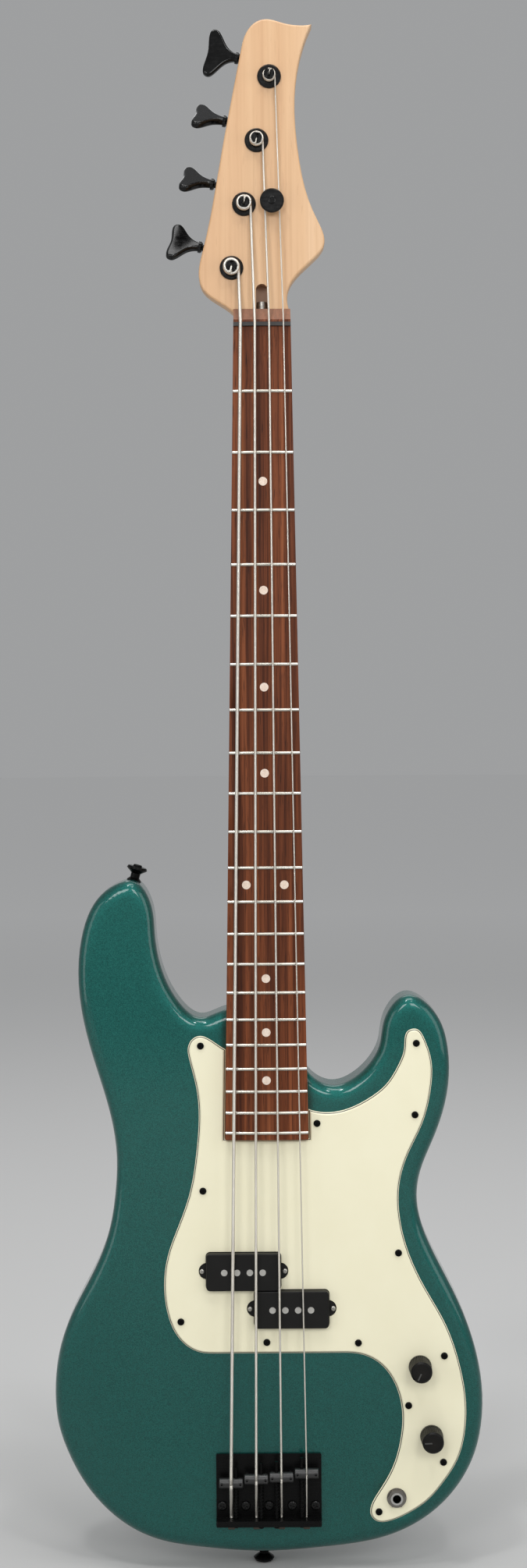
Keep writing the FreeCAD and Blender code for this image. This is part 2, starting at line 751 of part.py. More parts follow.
def board_blank():
    """The fingerboard before its slots: tapered, cambered, ramped down behind the nut."""
    top = half_width(STRIP_END)
    end = half_width(BOARD_END)
    plan = ((-end, BOARD_END), (end, BOARD_END), (top, STRIP_END), (-top, STRIP_END))
    blank = polygon(plan, BOARD_TOP - PAST, FACE)
    pivot = V(0, BOARD_TOP + BOARD_R, BOARD_END - PAST)
    round_top = rod(pivot, V(0, 0, 1), BOARD_R, STRIP_END - BOARD_END + 2 * PAST)
    blank = blank.common(round_top)
    edge = FACE - STRIP_EDGE_T
    start = NUT_BACK + STRIP_FLAT
    ramp = [(BOARD_TOP, start), (edge, STRIP_END), (edge, STRIP_END + PAST)]
    ramp += [(BOARD_TOP - PAST, STRIP_END + PAST), (BOARD_TOP - PAST, start)]
    corners = [V(-NUT_W, y, z) for y, z in ramp]
    cutter = Part.Face(Part.makePolygon(corners + corners[:1])).extrude(V(2 * NUT_W, 0, 0))
    return blank.cut(cutter)


def dot_pegs():
    """Pegs for the position dots on the face and along the bass edge."""
    pegs = []
    for n in SINGLE_DOTS + (DOUBLE_DOT,):
        z = (fret_z(n - 1) + fret_z(n)) / 2
        places = (0.0,) if n != DOUBLE_DOT else (-DOUBLE_DOT_X, DOUBLE_DOT_X)
        for x in places:
            pegs.append(peg(x, z, DOT_R, BOARD_TOP - PAST, BOARD_TOP + DOT_D))
            step = math.copysign(SIDE_DOT_STEP, x) if x else 0.0
            spot = V(-half_width(z) - PAST, FACE - BOARD_T / 2, z + step)
            pegs.append(rod(spot, V(1, 0, 0), SIDE_DOT_R, PAST + DOT_D))
    return pegs


def nut_solid(string_solids):
    """The nut: a strip in a slot across the board, notched for the strings."""
    half = half_width(SCALE)
    strip = box(-half, half, BOARD_TOP - 2 * NUT_RISE, BOARD_TOP + NUT_SEAT, SCALE, NUT_BACK)
    pivot = V(0, BOARD_TOP + BOARD_R, SCALE - PAST)
    strip = strip.common(rod(pivot, V(0, 0, 1), BOARD_R + NUT_RISE, NUT_T + 2 * PAST))
    return strip.cut(joined(string_solids))


def fingerboard_set():
    """Fingerboard, frets and dots."""
    blank = board_blank()
    fret_solids = [fret_solid(n) for n in range(1, FRET_COUNT + 1)]
    pegs = dot_pegs()
    dots = [p.common(blank) for p in pegs]
    half = half_width(SCALE) + PAST
    nut_slot = box(-half, half, BOARD_TOP - PAST, BOARD_TOP + NUT_SEAT, SCALE, NUT_BACK)
    board = blank.cut(joined(fret_solids)).cut(joined(pegs)).cut(nut_slot)
    return {"fingerboard": board, "frets": joined(fret_solids), "position_dots": joined(dots)}


# Neck with headstock

def neck_section(z, depth, power):
    """Outline of the neck's back at a height: flat on top, a full round below."""
    half = half_width(z)
    places = []
    for i in range(SECTION_STEPS + 1):
        angle = math.pi * i / SECTION_STEPS
        c = math.cos(angle)
        s = math.sin(angle)
        x = half * math.copysign(abs(c) ** (2 / power), c)
        places.append(V(x, FACE + depth * abs(s) ** (2 / power), z))
    back = curve(places).toShape()
    top = Part.LineSegment(places[-1], places[0]).toShape()
    return Part.Wire([back, top])


def neck_solid():
    """Maple neck: heel block, round shaft and flat headstock."""
    heel_t = POCKET_DEPTH - FACE
    low = half_width(BOARD_END)
    high = half_width(HEEL_TOP)
    plan = ((-low, BOARD_END), (low, BOARD_END), (high, HEEL_TOP), (-high, HEEL_TOP))
    heel = polygon(plan, FACE, POCKET_DEPTH)
    shaft_low = HEEL_TOP + HEEL_BLEND
    shaft_high = STRIP_END - HEAD_BLEND
    low_end = neck_section(shaft_low, NECK_DEPTH_HEEL, NECK_ROUND)
    high_end = neck_section(shaft_high, NECK_DEPTH_NUT, NECK_ROUND)
    shaft = Part.makeLoft([low_end, high_end], True, True)
    heel_blend = neck_blend(HEEL_TOP - PAST, heel_t, shaft_low, NECK_DEPTH_HEEL)
    head_blend = neck_blend(STRIP_END, HEAD_T, shaft_high, NECK_DEPTH_NUT)
    return heel.multiFuse([heel_blend, shaft, head_blend, headstock_blank()]).removeSplitter()


def neck_blend(square_z, square_depth, round_z, round_depth):
    """Piece of the neck where its back goes from square to round."""
    sections = []
    for i in range(BLEND_STEPS + 1):
        share = i / BLEND_STEPS
        eased = math.sin(share * math.pi / 2)
        z = square_z + (round_z - square_z) * share
        depth = square_depth + (round_depth - square_depth) * (1 - math.cos(share * math.pi)) / 2
        sections.append(neck_section(z, depth, NECK_SQUARE + (NECK_ROUND - NECK_SQUARE) * eased))
    return Part.makeLoft(sections, True, False)


def headstock_blank():
    """Headstock plate with softened edges."""
    base = half_width(STRIP_END)
    bass = curve(flat(((-base, -HEAD_FOOT),) + HEAD_BASS, rise=STRIP_END)).toShape()
    treble = curve(flat(HEAD_TREBLE + ((base, -HEAD_FOOT),), rise=STRIP_END)).toShape()
    low = STRIP_END - HEAD_FOOT
    foot = Part.LineSegment(V(base, 0, low), V(-base, 0, low)).toShape()
    plate = prism([bass, treble, foot], FACE, HEAD_BACK)
    rims = [e for e in plate.Edges if e.Curve.TypeId == "Part::GeomBSplineCurve"]
    return plate.makeFillet(HEAD_EDGE_R, rims)


ROD_Y = FACE + ROD_DEPTH
ROD_START = BOARD_END + ROD_INSET
ROD_NUT_END = STRIP_END + ROD_NUT_PROUD
ROD_NUT_START = ROD_NUT_END - ROD_NUT_L
ROD_END = ROD_NUT_START + ROD_GRIP


def truss_rod():
    """Steel rod inside the neck."""
    return rod(V(0, ROD_Y, ROD_START), V(0, 0, 1), ROD_R, ROD_END - ROD_START)


def truss_nut():
    """Adjusting nut on the rod's end, with a hexagon socket."""
    place = V(0, ROD_Y, ROD_NUT_START)
    barrel = rod(place, V(0, 0, 1), ROD_NUT_R, ROD_NUT_L)
    bore = rod(place, V(0, 0, 1), ROD_R + FIT, ROD_GRIP + PAST)
    floor = V(0, ROD_Y, ROD_NUT_END - ROD_SOCKET_D)
    socket = hexagon(floor, V(0, 0, 1), ROD_SOCKET_AF, ROD_SOCKET_D + PAST)
    return barrel.cut(bore).cut(socket)


def truss_space():
    """Room in the neck for the rod, its nut and the key that turns it."""
    channel = rod(V(0, ROD_Y, ROD_START), V(0, 0, 1), ROD_R, ROD_NUT_START - ROD_START)
    low = ROD_NUT_START - SET_OFF
    seat = rod(V(0, ROD_Y, low), V(0, 0, 1), ROD_NUT_R + FIT, STRIP_END + PAST - low)
    top = STRIP_END + SLOT_L - SLOT_W / 2
    depth = ROD_Y + SLOT_W / 2
    slot = slot_block((0, STRIP_END), (0, top), SLOT_W / 2, FACE - PAST, depth)
    slot = slot.common(box(-SLOT_W, SLOT_W, FACE - PAST, depth, STRIP_END, STRIP_END + SLOT_L + PAST))
    return channel.multiFuse([seat, slot])


# Body

def forearm_cutter():
    """The slope on the front of the lower bass bout: outside a large round that touches the face."""
    p, q = flat(FOREARM_LINE)
    along = (q - p).normalize()
    outward = V(along.z, 0, -along.x)
    span = 3 * (q - p).Length
    start = (p + q) * 0.5 - along * (span / 2)
    big_round = rod(start + V(0, FOREARM_R, 0), along, FOREARM_R, span)
    reach = outward * (FOREARM_R / 2)
    corners = [start, start + along * span, start + along * span + reach, start + reach, start]
    block = Part.Face(Part.makePolygon(corners)).extrude(V(0, BODY_T, 0))
    return block.cut(big_round)


def body_blank():
    """The body's slab with its contours and rounded edges."""
    outline = spans(curve(flat(BODY_POINTS), True), BODY_SPANS)
    slab = prism(outline, 0, BODY_T).cut(forearm_cutter())
    rims = [e for e in slab.Edges if e.Curve.TypeId == "Part::GeomBSplineCurve" and e.Length > 1]
    slab = slab.makeFillet(BODY_EDGE_R, rims)
    x, z = BELLY_CENTRE
    return slab.cut(Part.makeSphere(BELLY_R, V(x, BACK + BELLY_R - BELLY_DEPTH, z)))


def control_cavity():
    """Room behind the guard for the controls, the jack and the wires."""
    places = KNOB_PLACES + (JACK_PLACE,)
    rooms = [peg(x, z, CAVITY_R, -PAST, CAVITY_DEPTH) for x, z in places]
    rooms += [slot_block(p, q, CAVITY_NECK_R, -PAST, CAVITY_DEPTH) for p, q in zip(places, places[1:])]
    return rooms[0].multiFuse(rooms[1:])


def pickup_outline(i, gap, y0, y1):
    """A pickup's cover with its ears, grown by a gap, between two depths."""
    x, z = PICKUP_CENTRES[i]
    block = rounded_box(PICKUP_W + 2 * gap, PICKUP_H + 2 * gap, COVER_CORNER_R + gap, y0, y1, x, z)
    ears = slot_block((x - EAR_CENTRE, z), (x + EAR_CENTRE, z), EAR_R + gap, y0, y1)
    return block.fuse(ears)


def pickup_screw_places(i):
    """Places of a pickup's two ear screws."""
    x, z = PICKUP_CENTRES[i]
    return ((x - EAR_OFFSET, z), (x + EAR_OFFSET, z))


def neck_pocket():
    """Pocket for the heel, open towards the neck."""
    top = HEEL_TOP + HEEL_BLEND
    low = half_width(BOARD_END)
    high = half_width(top)
    return polygon(((-low, BOARD_END), (low, BOARD_END), (high, top), (-high, top)), -PAST, POCKET_DEPTH)


def wire_duct():
    """Ends of the drilled way for the wires, from the lower pickup to the controls."""
    x, z = PICKUP_CENTRES[1]
    y = ROUT_DEPTH - WIRE_DUCT_R - PAST
    return V(x + PICKUP_W / 2 - WIRE_DUCT_R, y, z), V(KNOB_PLACES[0][0], y, KNOB_PLACES[0][1])


def body_solid(fastener_solids):
    """The body with its pocket, routs, cavity, ducts and fastener holes."""
    cuts = [neck_pocket(), control_cavity()]
    for i in range(2):
        cuts.append(pickup_outline(i, ROUT_GAP, -PAST, ROUT_DEPTH))
        for x, z in pickup_screw_places(i):
            cuts.append(peg(x, z, PICKUP_SCREW_R + FIT, 0, PICKUP_SCREW_END + PICKUP_SCREW_ROOM))
    start, end = wire_duct()
    cuts.append(rod(start, (end - start).normalize(), WIRE_DUCT_R, (end - start).Length))
    for x, z in NECK_SCREW_PLACES:
        cuts.append(peg(x, z, FERRULE_R, BACK - FERRULE_T, BACK + PAST))
    return body_blank().cut(joined(cuts)).cut(joined(fastener_solids))


# Pickguard

def guard_solid():
    """Laminated guard with a bevelled rim, notched for the neck and open for pickups and controls."""
    gap = GUARD_GAP
    lobe_z = BOARD_END + GUARD_LOBE
    cut_z = BOARD_END + GUARD_CUT
    lobe = V(-half_width(lobe_z) - gap, 0, lobe_z)
    shoulder = V(half_width(cut_z) + gap, 0, cut_z)
    notch_z = BOARD_END - gap
    notch = half_width(BOARD_END) + gap
    rim = spans(curve([lobe] + flat(GUARD_POINTS) + [shoulder]), GUARD_SPANS)
    corners = [shoulder, V(notch, 0, notch_z), V(-notch, 0, notch_z), lobe]
    sides = [Part.LineSegment(p, q).toShape() for p, q in zip(corners, corners[1:])]
    plate = prism(rim + sides, GUARD_TOP, 0)
    front = [f for f in plate.Faces if abs(f.CenterOfMass.y - GUARD_TOP) < 0.01][0]
    plate = plate.makeChamfer(GUARD_BEVEL, front.Edges)
    over = GUARD_TOP - PAST
    cuts = [pickup_outline(i, gap, over, PAST) for i in range(2)]
    cuts += [peg(x, z, POT_BUSH_R, over, PAST) for x, z in KNOB_PLACES]
    cuts.append(peg(JACK_PLACE[0], JACK_PLACE[1], JACK_BUSH_R, over, PAST))
    cuts += [peg(x, z, GUARD_SCREW_R, over, PAST) for x, z in GUARD_SCREWS]
    return plate.cut(joined(cuts))


def guard_screws():
    """Screws round the guard."""
    inward = V(0, 1, 0)
    head = (GUARD_SCREW_HEAD_R, GUARD_SCREW_HEAD_T)
    return [screw(V(x, GUARD_TOP, z), inward, GUARD_SCREW_R, GUARD_SCREW_L, *head) for x, z in GUARD_SCREWS]


# Pickups

def pole_places(i):
    """Places of a pickup's four poles."""
    x, z = PICKUP_CENTRES[i]
    return [(x + (k - 1.5) * POLE_PITCH, z) for k in range(4)]


def pickup_cover(i):
    """Hollow cover of one pickup half, with its ears and the holes for poles and screws."""
    x, z = PICKUP_CENTRES[i]
    top = -PICKUP_RISE
    low = PICKUP_SINK
    wall = 2 * COVER_WALL
    shell = rounded_box(PICKUP_W, PICKUP_H, COVER_CORNER_R, top, low, x, z)
    rim = [e for e in shell.Edges if abs(e.CenterOfMass.y - top) < 0.01]
    shell = shell.makeFillet(COVER_TOP_R, rim)
    ears = slot_block((x - EAR_CENTRE, z), (x + EAR_CENTRE, z), EAR_R, EAR_TOP, EAR_TOP + EAR_T)
    corner = COVER_CORNER_R - COVER_WALL
    inner = rounded_box(PICKUP_W - wall, PICKUP_H - wall, corner, top + COVER_WALL, low + PAST, x, z)
    holes = [peg(px, pz, POLE_R + FIT, top - PAST, low) for px, pz in pole_places(i)]
    holes += [peg(px, pz, PICKUP_SCREW_R, EAR_TOP - PAST, low) for px, pz in pickup_screw_places(i)]
    return shell.fuse(ears).cut(joined([inner] + holes))


def pickup_coil(i, poles):
    """Winding between two sheets, round the poles."""
    x, z = PICKUP_CENTRES[i]
    margin = 2 * (COVER_WALL + FLATWORK_GAP)
    upper = COVER_WALL - PICKUP_RISE
    lower = PICKUP_SINK - FLATWORK_INSET - FLATWORK_T
    solids = []
    corner = COVER_CORNER_R - COVER_WALL - FLATWORK_GAP
    wide = PICKUP_W - margin
    high = PICKUP_H - margin
    for level in (upper, lower):
        solids.append(rounded_box(wide, high, corner, level, level + FLATWORK_T, x, z))
    half = (COIL_W - COIL_H) / 2
    solids.append(slot_block((x - half, z), (x + half, z), COIL_H / 2, upper + FLATWORK_T, lower))
    return joined([solid.cut(joined(poles)) for solid in solids])


def pickup_set(i):
    """Cover, coil with flatwork, poles and screws of one pickup half."""
    tip = -PICKUP_RISE - POLE_PROUD
    poles = [peg(px, pz, POLE_R, tip, PICKUP_SINK - FLATWORK_INSET) for px, pz in pole_places(i)]
    length = PICKUP_SCREW_END - EAR_TOP
    head = (PICKUP_SCREW_HEAD_R, PICKUP_SCREW_HEAD_T)
    screws = [screw(V(px, EAR_TOP, pz), V(0, 1, 0), PICKUP_SCREW_R, length, *head)
              for px, pz in pickup_screw_places(i)]
    name = PICKUP_NAMES[i]
    return {
        "pickup_cover_" + name: pickup_cover(i),
        "pickup_coil_" + name: pickup_coil(i, poles),
        "pickup_poles_" + name: joined(poles),
        "pickup_screws_" + name: joined(screws),
    }


def pickup_foam():
    """Foam pads that press the pickups forward."""
    front = PICKUP_SINK - FLATWORK_INSET
    return joined([rounded_box(FOAM_W, FOAM_H, FOAM_CORNER_R, front, ROUT_DEPTH, x, z)
                   for x, z in PICKUP_CENTRES])


# Controls

def knob_solid(i):
    """A knob with a fluted side, a hollow skirt and a pointer groove, on its shaft."""
    x, z = KNOB_PLACES[i]
    under = GUARD_TOP - KNOB_GAP
    top = under - KNOB_H
    foot = V(x, under, z)
    axis = V(0, -1, 0)
    slope_top = KNOB_H - KNOB_EDGE
    profile = [(0, 0), (KNOB_R, 0), (KNOB_R, KNOB_RIM), (KNOB_TOP_R, slope_top),
               (KNOB_TOP_R - KNOB_EDGE, KNOB_H), (0, KNOB_H)]
    cuts = [peg(x, z, KNOB_SKIRT_R, under - KNOB_SKIRT_D, under + PAST)]
    cuts.append(peg(x, z, SHAFT_R, top + KNOB_CROWN, under))
    lean = math.atan2(KNOB_TAPER, slope_top - KNOB_RIM)
    start = KNOB_RIM + KNOB_FLUTE_R
    for k in range(KNOB_FLUTES):
        angle = 2 * math.pi * k / KNOB_FLUTES
        out = V(math.cos(angle), 0, math.sin(angle))
        way = axis * math.cos(lean) - out * math.sin(lean)
        cuts.append(rod(foot + axis * start + out * KNOB_R, way, KNOB_FLUTE_R, slope_top - start))
    pointer = Part.makeBox(POINTER_W, POINTER_D * 2, KNOB_R, V(x - POINTER_W / 2, top - POINTER_D, z))
    pointer.rotate(V(x, 0, z), V(0, 1, 0), KNOB_POINTERS[i])
    cap = turned(profile, foot, axis).cut(joined(cuts)).cut(pointer)
    shaft = peg(x, z, SHAFT_R, top + KNOB_CROWN, POT_T - POT_FLOOR)
    return joined([cap, shaft])


def pots():
    """Potentiometers: can, lugs and threaded bush."""
    solids = []
    front = GUARD_TOP - BUSH_RISE
    for x, z in KNOB_PLACES:
        can = peg(x, z, POT_R, 0, POT_T)
        bush = peg(x, z, POT_BUSH_R, front, 0)
        edge = x - POT_R
        lugs = box(edge - LUG_REACH, edge + PAST, LUG_DEPTH, LUG_DEPTH + LUG_T, z - LUG_W / 2, z + LUG_W / 2)
        bore = peg(x, z, SHAFT_R + RUN, front - PAST, POT_T - POT_FLOOR + RUN)
        solids.append(can.multiFuse([bush, lugs]).cut(bore))
    return joined(solids)


def output_jack():
    """Jack: threaded sleeve with its flange, insulating block and two contact blades."""
    x, z = JACK_PLACE
    front = GUARD_TOP - BUSH_RISE
    sleeve = peg(x, z, JACK_BUSH_R, front, 0).fuse(peg(x, z, JACK_FLANGE_R, 0, JACK_FLANGE_T))
    sleeve = sleeve.cut(peg(x, z, JACK_BORE_R, front - PAST, JACK_FLANGE_T + PAST))
    first = x + JACK_BORE_R + BLADE_GAP
    second = first + BLADE_PITCH
    half = BLADE_W / 2
    base = JACK_FLANGE_T + JACK_BLOCK_L
    rim = half + BLOCK_RIM
    block = box(first - BLOCK_RIM, second + BLADE_T + BLOCK_RIM, JACK_FLANGE_T, base, z - rim, z + rim)
    blade = box(first, first + BLADE_T, base, base + BLADE_L, z - half, z + half)
    spring = box(second, second + BLADE_T, base, base + BLADE_L - BLADE_STEP, z - half, z + half)
    return joined([sleeve, block, blade, spring])


def control_nuts():
    """Washers and six-sided nuts that hold the controls and the jack to the guard."""
    solids = []
    face = V(0, -1, 0)
    places = [(x, z, POT_HEX_AF, POT_WASHER_R, POT_BUSH_R) for x, z in KNOB_PLACES]
    places.append((JACK_PLACE[0], JACK_PLACE[1], JACK_HEX_AF, JACK_WASHER_R, JACK_BUSH_R))
    for x, z, across, wide, bore in places:
        seat = V(x, GUARD_TOP, z)
        solids.append(washer(seat, face, wide, bore, WASHER_T))
        solids.append(hex_nut(seat + face * WASHER_T, face, across, HEX_T, bore))
    return joined(solids)


def capacitor():
    """Tone capacitor lying on the back of the tone control."""
    x, z = KNOB_PLACES[1]
    return rod(V(x - CAPACITOR_L / 2, POT_T + CAPACITOR_R, z), V(1, 0, 0), CAPACITOR_R, CAPACITOR_L)


def wiring():
    """Insulated wires from the pickups to the controls and on to the jack."""
    start, end = wire_duct()
    way = (end - start).normalize()
    side = V(0, 1, 0).cross(way) * (WIRE_PITCH / 2)
    first = start + way * WIRE_PITCH
    last = end - way * (POT_R + WIRE_PITCH)
    wires = [tube(routed([first + s, last + s], []), WIRE_R) for s in (side, side * -1)]
    level = POT_T + WIRE_R + SET_OFF
    places = flat(KNOB_PLACES + (JACK_PLACE,), level)
    side_step = V(CAVITY_NECK_R / 2, 0, 0)
    for near, far, stop in zip(places, places[1:], (CAPACITOR_R, JACK_FLANGE_R)):
        along = (far - near).normalize()
        first = near + along * (POT_R / 2)
        last = far - along * (stop + 2 * WIRE_PITCH)
        bend = (first + last) * 0.5 + side_step
        wires.append(tube(routed([first, bend, last], [WIRE_BEND_R]), WIRE_R))
    return joined(wires)


# Bridge

def bridge_plate():
    """Bent plate: flat base with an upright wall at the tail end."""
    half = PLATE_W / 2
    wall_top = min(saddle_axis_y(i) for i in range(4)) - WALL_PAST
    base = box(-half, half, PLATE_TOP, 0, WALL_BACK, PLATE_TOP_Z)
    wall = box(-half, half, wall_top, 0, WALL_BACK, WALL_Z)
    solid = base.fuse(wall).removeSplitter()
    front = [e for e in along_axis(solid.Edges, V(0, 1, 0)) if e.CenterOfMass.z > PLATE_TOP_Z - PAST]
    solid = solid.makeFillet(PLATE_CORNER_R, front)
    corners = [e for e in along_axis(solid.Edges, V(0, 0, 1)) if e.CenterOfMass.y < wall_top + PAST]
    solid = solid.makeFillet(WALL_CORNER_R, corners)
    cuts = []
    for i in range(4):
        hole = V(string_x(i, BRIDGE_PITCH), -STRING_HOLE_RISE, WALL_BACK - PAST)
        cuts.append(rod(hole, V(0, 0, 1), STRING_HOLE_R, WALL_T + 2 * PAST))
        spot = V(length_screw_x(i), saddle_axis_y(i), WALL_BACK - PAST)
        cuts.append(rod(spot, V(0, 0, 1), LENGTH_SCREW_R + FIT, WALL_T + 2 * PAST))
    cuts += [peg(x, BRIDGE_SCREW_Z, BRIDGE_SCREW_R, PLATE_TOP - PAST, PAST) for x in bridge_screw_xs()]
    return solid.cut(joined(cuts))


def bridge_screw_xs():
    """Sideways places of the bridge's screws."""
    return [k * BRIDGE_SCREW_PITCH for k in range(-2, 3)]


def bridge_screws():
    """Screws that hold the bridge to the body."""
    head = (BRIDGE_SCREW_HEAD_R, BRIDGE_SCREW_HEAD_T)
    return [screw(V(x, PLATE_TOP, BRIDGE_SCREW_Z), V(0, 1, 0), BRIDGE_SCREW_R, BRIDGE_SCREW_L, *head)
            for x in bridge_screw_xs()]


def height_screw(x, y, z):
    """Grub screw through a saddle, from just above it down to the plate."""
    top = y - SADDLE_R - HEIGHT_SCREW_PROUD
    bar = peg(x, z, HEIGHT_SCREW_R, top, PLATE_TOP - SET_OFF)
    return bar.cut(hexagon(V(x, top, z), V(0, 1, 0), HEIGHT_SOCKET_AF, HEIGHT_SOCKET_D))


def saddle_set(i, groove):
    """One barrel saddle with its two height screws, and its length screw."""
    x = string_x(i, BRIDGE_PITCH)
    y = saddle_axis_y(i)
    z = SADDLE_Z[i]
    barrel = rod(V(x - SADDLE_W / 2, y, z), V(1, 0, 0), SADDLE_R, SADDLE_W)
    rims = [e for e in barrel.Edges if e.Curve.TypeId == "Part::GeomCircle"]
    barrel = barrel.makeChamfer(SADDLE_CHAMFER, rims)
    sides = (x - HEIGHT_SCREW_X, x + HEIGHT_SCREW_X)
    feet = [height_screw(side, y, z) for side in sides]
    cuts = [peg(side, z, HEIGHT_SCREW_R, y - 2 * SADDLE_R, y + 2 * SADDLE_R) for side in sides]
    lead = V(length_screw_x(i), y, WALL_BACK)
    start = V(lead.x, y, z - 2 * SADDLE_R)
    cuts.append(rod(start, V(0, 0, 1), LENGTH_SCREW_R + FIT, 4 * SADDLE_R))
    barrel = barrel.cut(joined(cuts)).cut(groove)
    length = z + SADDLE_R + LENGTH_SCREW_PAST - WALL_BACK
    stem = screw(lead - V(0, 0, RUN), V(0, 0, 1), LENGTH_SCREW_R, length, LENGTH_HEAD_R, LENGTH_HEAD_T)
    name = NAMES[i]
    return {"saddle_" + name: joined([barrel] + feet), "length_screw_" + name: stem}


def length_springs():
    """Coil springs on the length screws, between the wall and each saddle."""
    solids = []
    for i in range(4):
        start = WALL_Z + SPRING_WIRE_R + SET_OFF
        end = SADDLE_Z[i] - SADDLE_R - SPRING_WIRE_R - SET_OFF
        rise = (end - start) / (2 * SPRING_TURNS)
        centre = V(length_screw_x(i), saddle_axis_y(i), start)
        turns = coil(centre, V(0, 0, 1), V(0, 1, 0), SPRING_R, rise, 2 * SPRING_TURNS)
        solids.append(tube(turns, SPRING_WIRE_R))
    return joined(solids)


# Tuners

def tuner_base(i):
    """Back plate of a tuner with two brackets for its worm."""
    n0, n1 = BASE_SIDES
    t0, t1 = BASE_SPAN
    plate = tuner_box(i, n0, n1, t0, t1, HEAD_BACK, BASE_BACK)
    plate = plate.makeFillet(BASE_CORNER_R, along_axis(plate.Edges, V(0, 1, 0)))
    low = WORM_OFFSET - BRACKET_HALF
    high = WORM_OFFSET + BRACKET_HALF
    arms = [tuner_box(i, n, n + BRACKET_T, low, high, HEAD_BACK, GEAR_MID + BRACKET_HALF)
            for n in (-BRACKET_N - BRACKET_T, BRACKET_N)]
    solid = plate.multiFuse(arms).removeSplitter()
    out = tuner_frame(i)[2]
    reach = BRACKET_N + BRACKET_T + PAST
    cuts = [rod(at_tuner(i, -reach, WORM_OFFSET, GEAR_MID), out, WORM_SHAFT_R + RUN, 2 * reach)]
    cuts.append(rod(at_tuner(i, 0, 0, HEAD_BACK - PAST), V(0, 1, 0), POST_R + RUN, BASE_T + 2 * PAST))
    under = V(0, BASE_T + PAST, 0)
    cuts += [rod(p - under, V(0, 1, 0), TUNER_SCREW_R, BASE_T + 2 * PAST) for p in tuner_screw_places(i)]
    return solid.cut(joined(cuts))


def tuner_screw_places(i):
    """Corners of a tuner's back plate where its screws sit."""
    n0, n1 = BASE_SIDES
    t0, t1 = BASE_SPAN
    inset = TUNER_SCREW_INSET
    return [at_tuner(i, n, t, BASE_BACK) for n in (n0 + inset, n1 - inset) for t in (t0 + inset, t1 - inset)]


def tuner_screws():
    """Small screws that hold the tuners' back plates."""
    head = (TUNER_SCREW_HEAD_R, TUNER_SCREW_HEAD_T)
    return [screw(place, V(0, -1, 0), TUNER_SCREW_R, TUNER_SCREW_L, *head)
            for i in range(4) for place in tuner_screw_places(i)]


def tuner_bushing(i):
    """Flanged bushing in the headstock's face that guides a post."""
    front = -BUSHING_FLANGE_T
    soft = BUSHING_FLANGE_T / 2
    bore = POST_R + RUN
    profile = [(bore, front), (BUSHING_FLANGE_R - soft, front), (BUSHING_FLANGE_R, front + soft),
               (BUSHING_FLANGE_R, 0), (BUSHING_R, 0), (BUSHING_R, BUSHING_L), (bore, BUSHING_L)]
    return turned(profile, at_tuner(i, 0, 0, FACE), V(0, 1, 0))


def tooth_half(offset):
    """Half a tooth's width at a height above the pitch line."""
    pressure = math.tan(math.radians(PRESSURE_ANGLE))
    return math.pi * GEAR_MODULE / 4 - TOOTH_BACKLASH / 2 - offset * pressure


def tooth_corners(root):
    """Corners of a tooth from one root to the other: height above the pitch line, and side."""
    return ((root, -1), (GEAR_ADDENDUM, -1), (GEAR_ADDENDUM, 1), (root, 1))


def gear_wheel(i):
    """Wheel that a tuner's worm turns, with a gap between teeth at the worm."""
    low = GEAR_MID - GEAR_T / 2
    ring = []
    for k in range(GEAR_TEETH):
        middle = 2 * math.pi / GEAR_TEETH * (k + 0.5)
        for offset, sign in tooth_corners(-GEAR_DEDENDUM):
            radius = GEAR_R + offset
            angle = middle + sign * tooth_half(offset) / radius
            ring.append(at_tuner(i, radius * math.sin(angle), radius * math.cos(angle), low))
    wheel = Part.Face(Part.makePolygon(ring + ring[:1])).extrude(V(0, GEAR_T, 0))
    return wheel.cut(rod(at_tuner(i, 0, 0, low - PAST), V(0, 1, 0), POST_R, GEAR_T + 2 * PAST))


def tuner_post(i):
    """Slotted post with its gear wheel."""
    top = FACE - POST_RISE
    neck = top + POST_CAP_T + POST_CAP_R - POST_WAIST_R
    seat = FACE - BUSHING_FLANGE_T - SET_OFF
    collar = BASE_BACK + SET_OFF
    gear_low = GEAR_MID - GEAR_T / 2
    tail = GEAR_MID + GEAR_T / 2 + POST_TAIL
    profile = [(0, top), (POST_CAP_R - POST_CAP_EDGE, top), (POST_CAP_R, top + POST_CAP_EDGE),
               (POST_CAP_R, top + POST_CAP_T), (POST_WAIST_R, neck), (POST_WAIST_R, seat), (POST_R, seat),
               (POST_R, collar), (POST_COLLAR_R, collar), (POST_COLLAR_R, gear_low), (POST_R, gear_low),
               (POST_R, tail), (0, tail)]
    post = turned(profile, at_tuner(i, 0, 0, 0), V(0, 1, 0))
    half = POST_SLOT_W / 2
    slot = tuner_box(i, -half, half, -2 * POST_R, 2 * POST_R, top - PAST, top + POST_SLOT_D)
    return joined([post.cut(slot), gear_wheel(i)])


def worm_thread():
    """Helical thread of a worm about +Z, with a ridge facing +X at the middle."""
    height = WORM_LEAD * WORM_TURNS
    helix = Part.makeHelix(WORM_LEAD, height, WORM_R)
    sunk = -GEAR_DEDENDUM - WORM_SINK
    corners = [V(WORM_R + offset, 0, sign * tooth_half(offset)) for offset, sign in tooth_corners(sunk)]
    profile = Part.makePolygon(corners + corners[:1])
    thread = Part.Wire(helix.Edges).makePipeShell([profile], True, True)
    thread.rotate(V(0, 0, 0), V(0, 0, 1), 180)
    thread.translate(V(0, 0, -height / 2))
    return thread


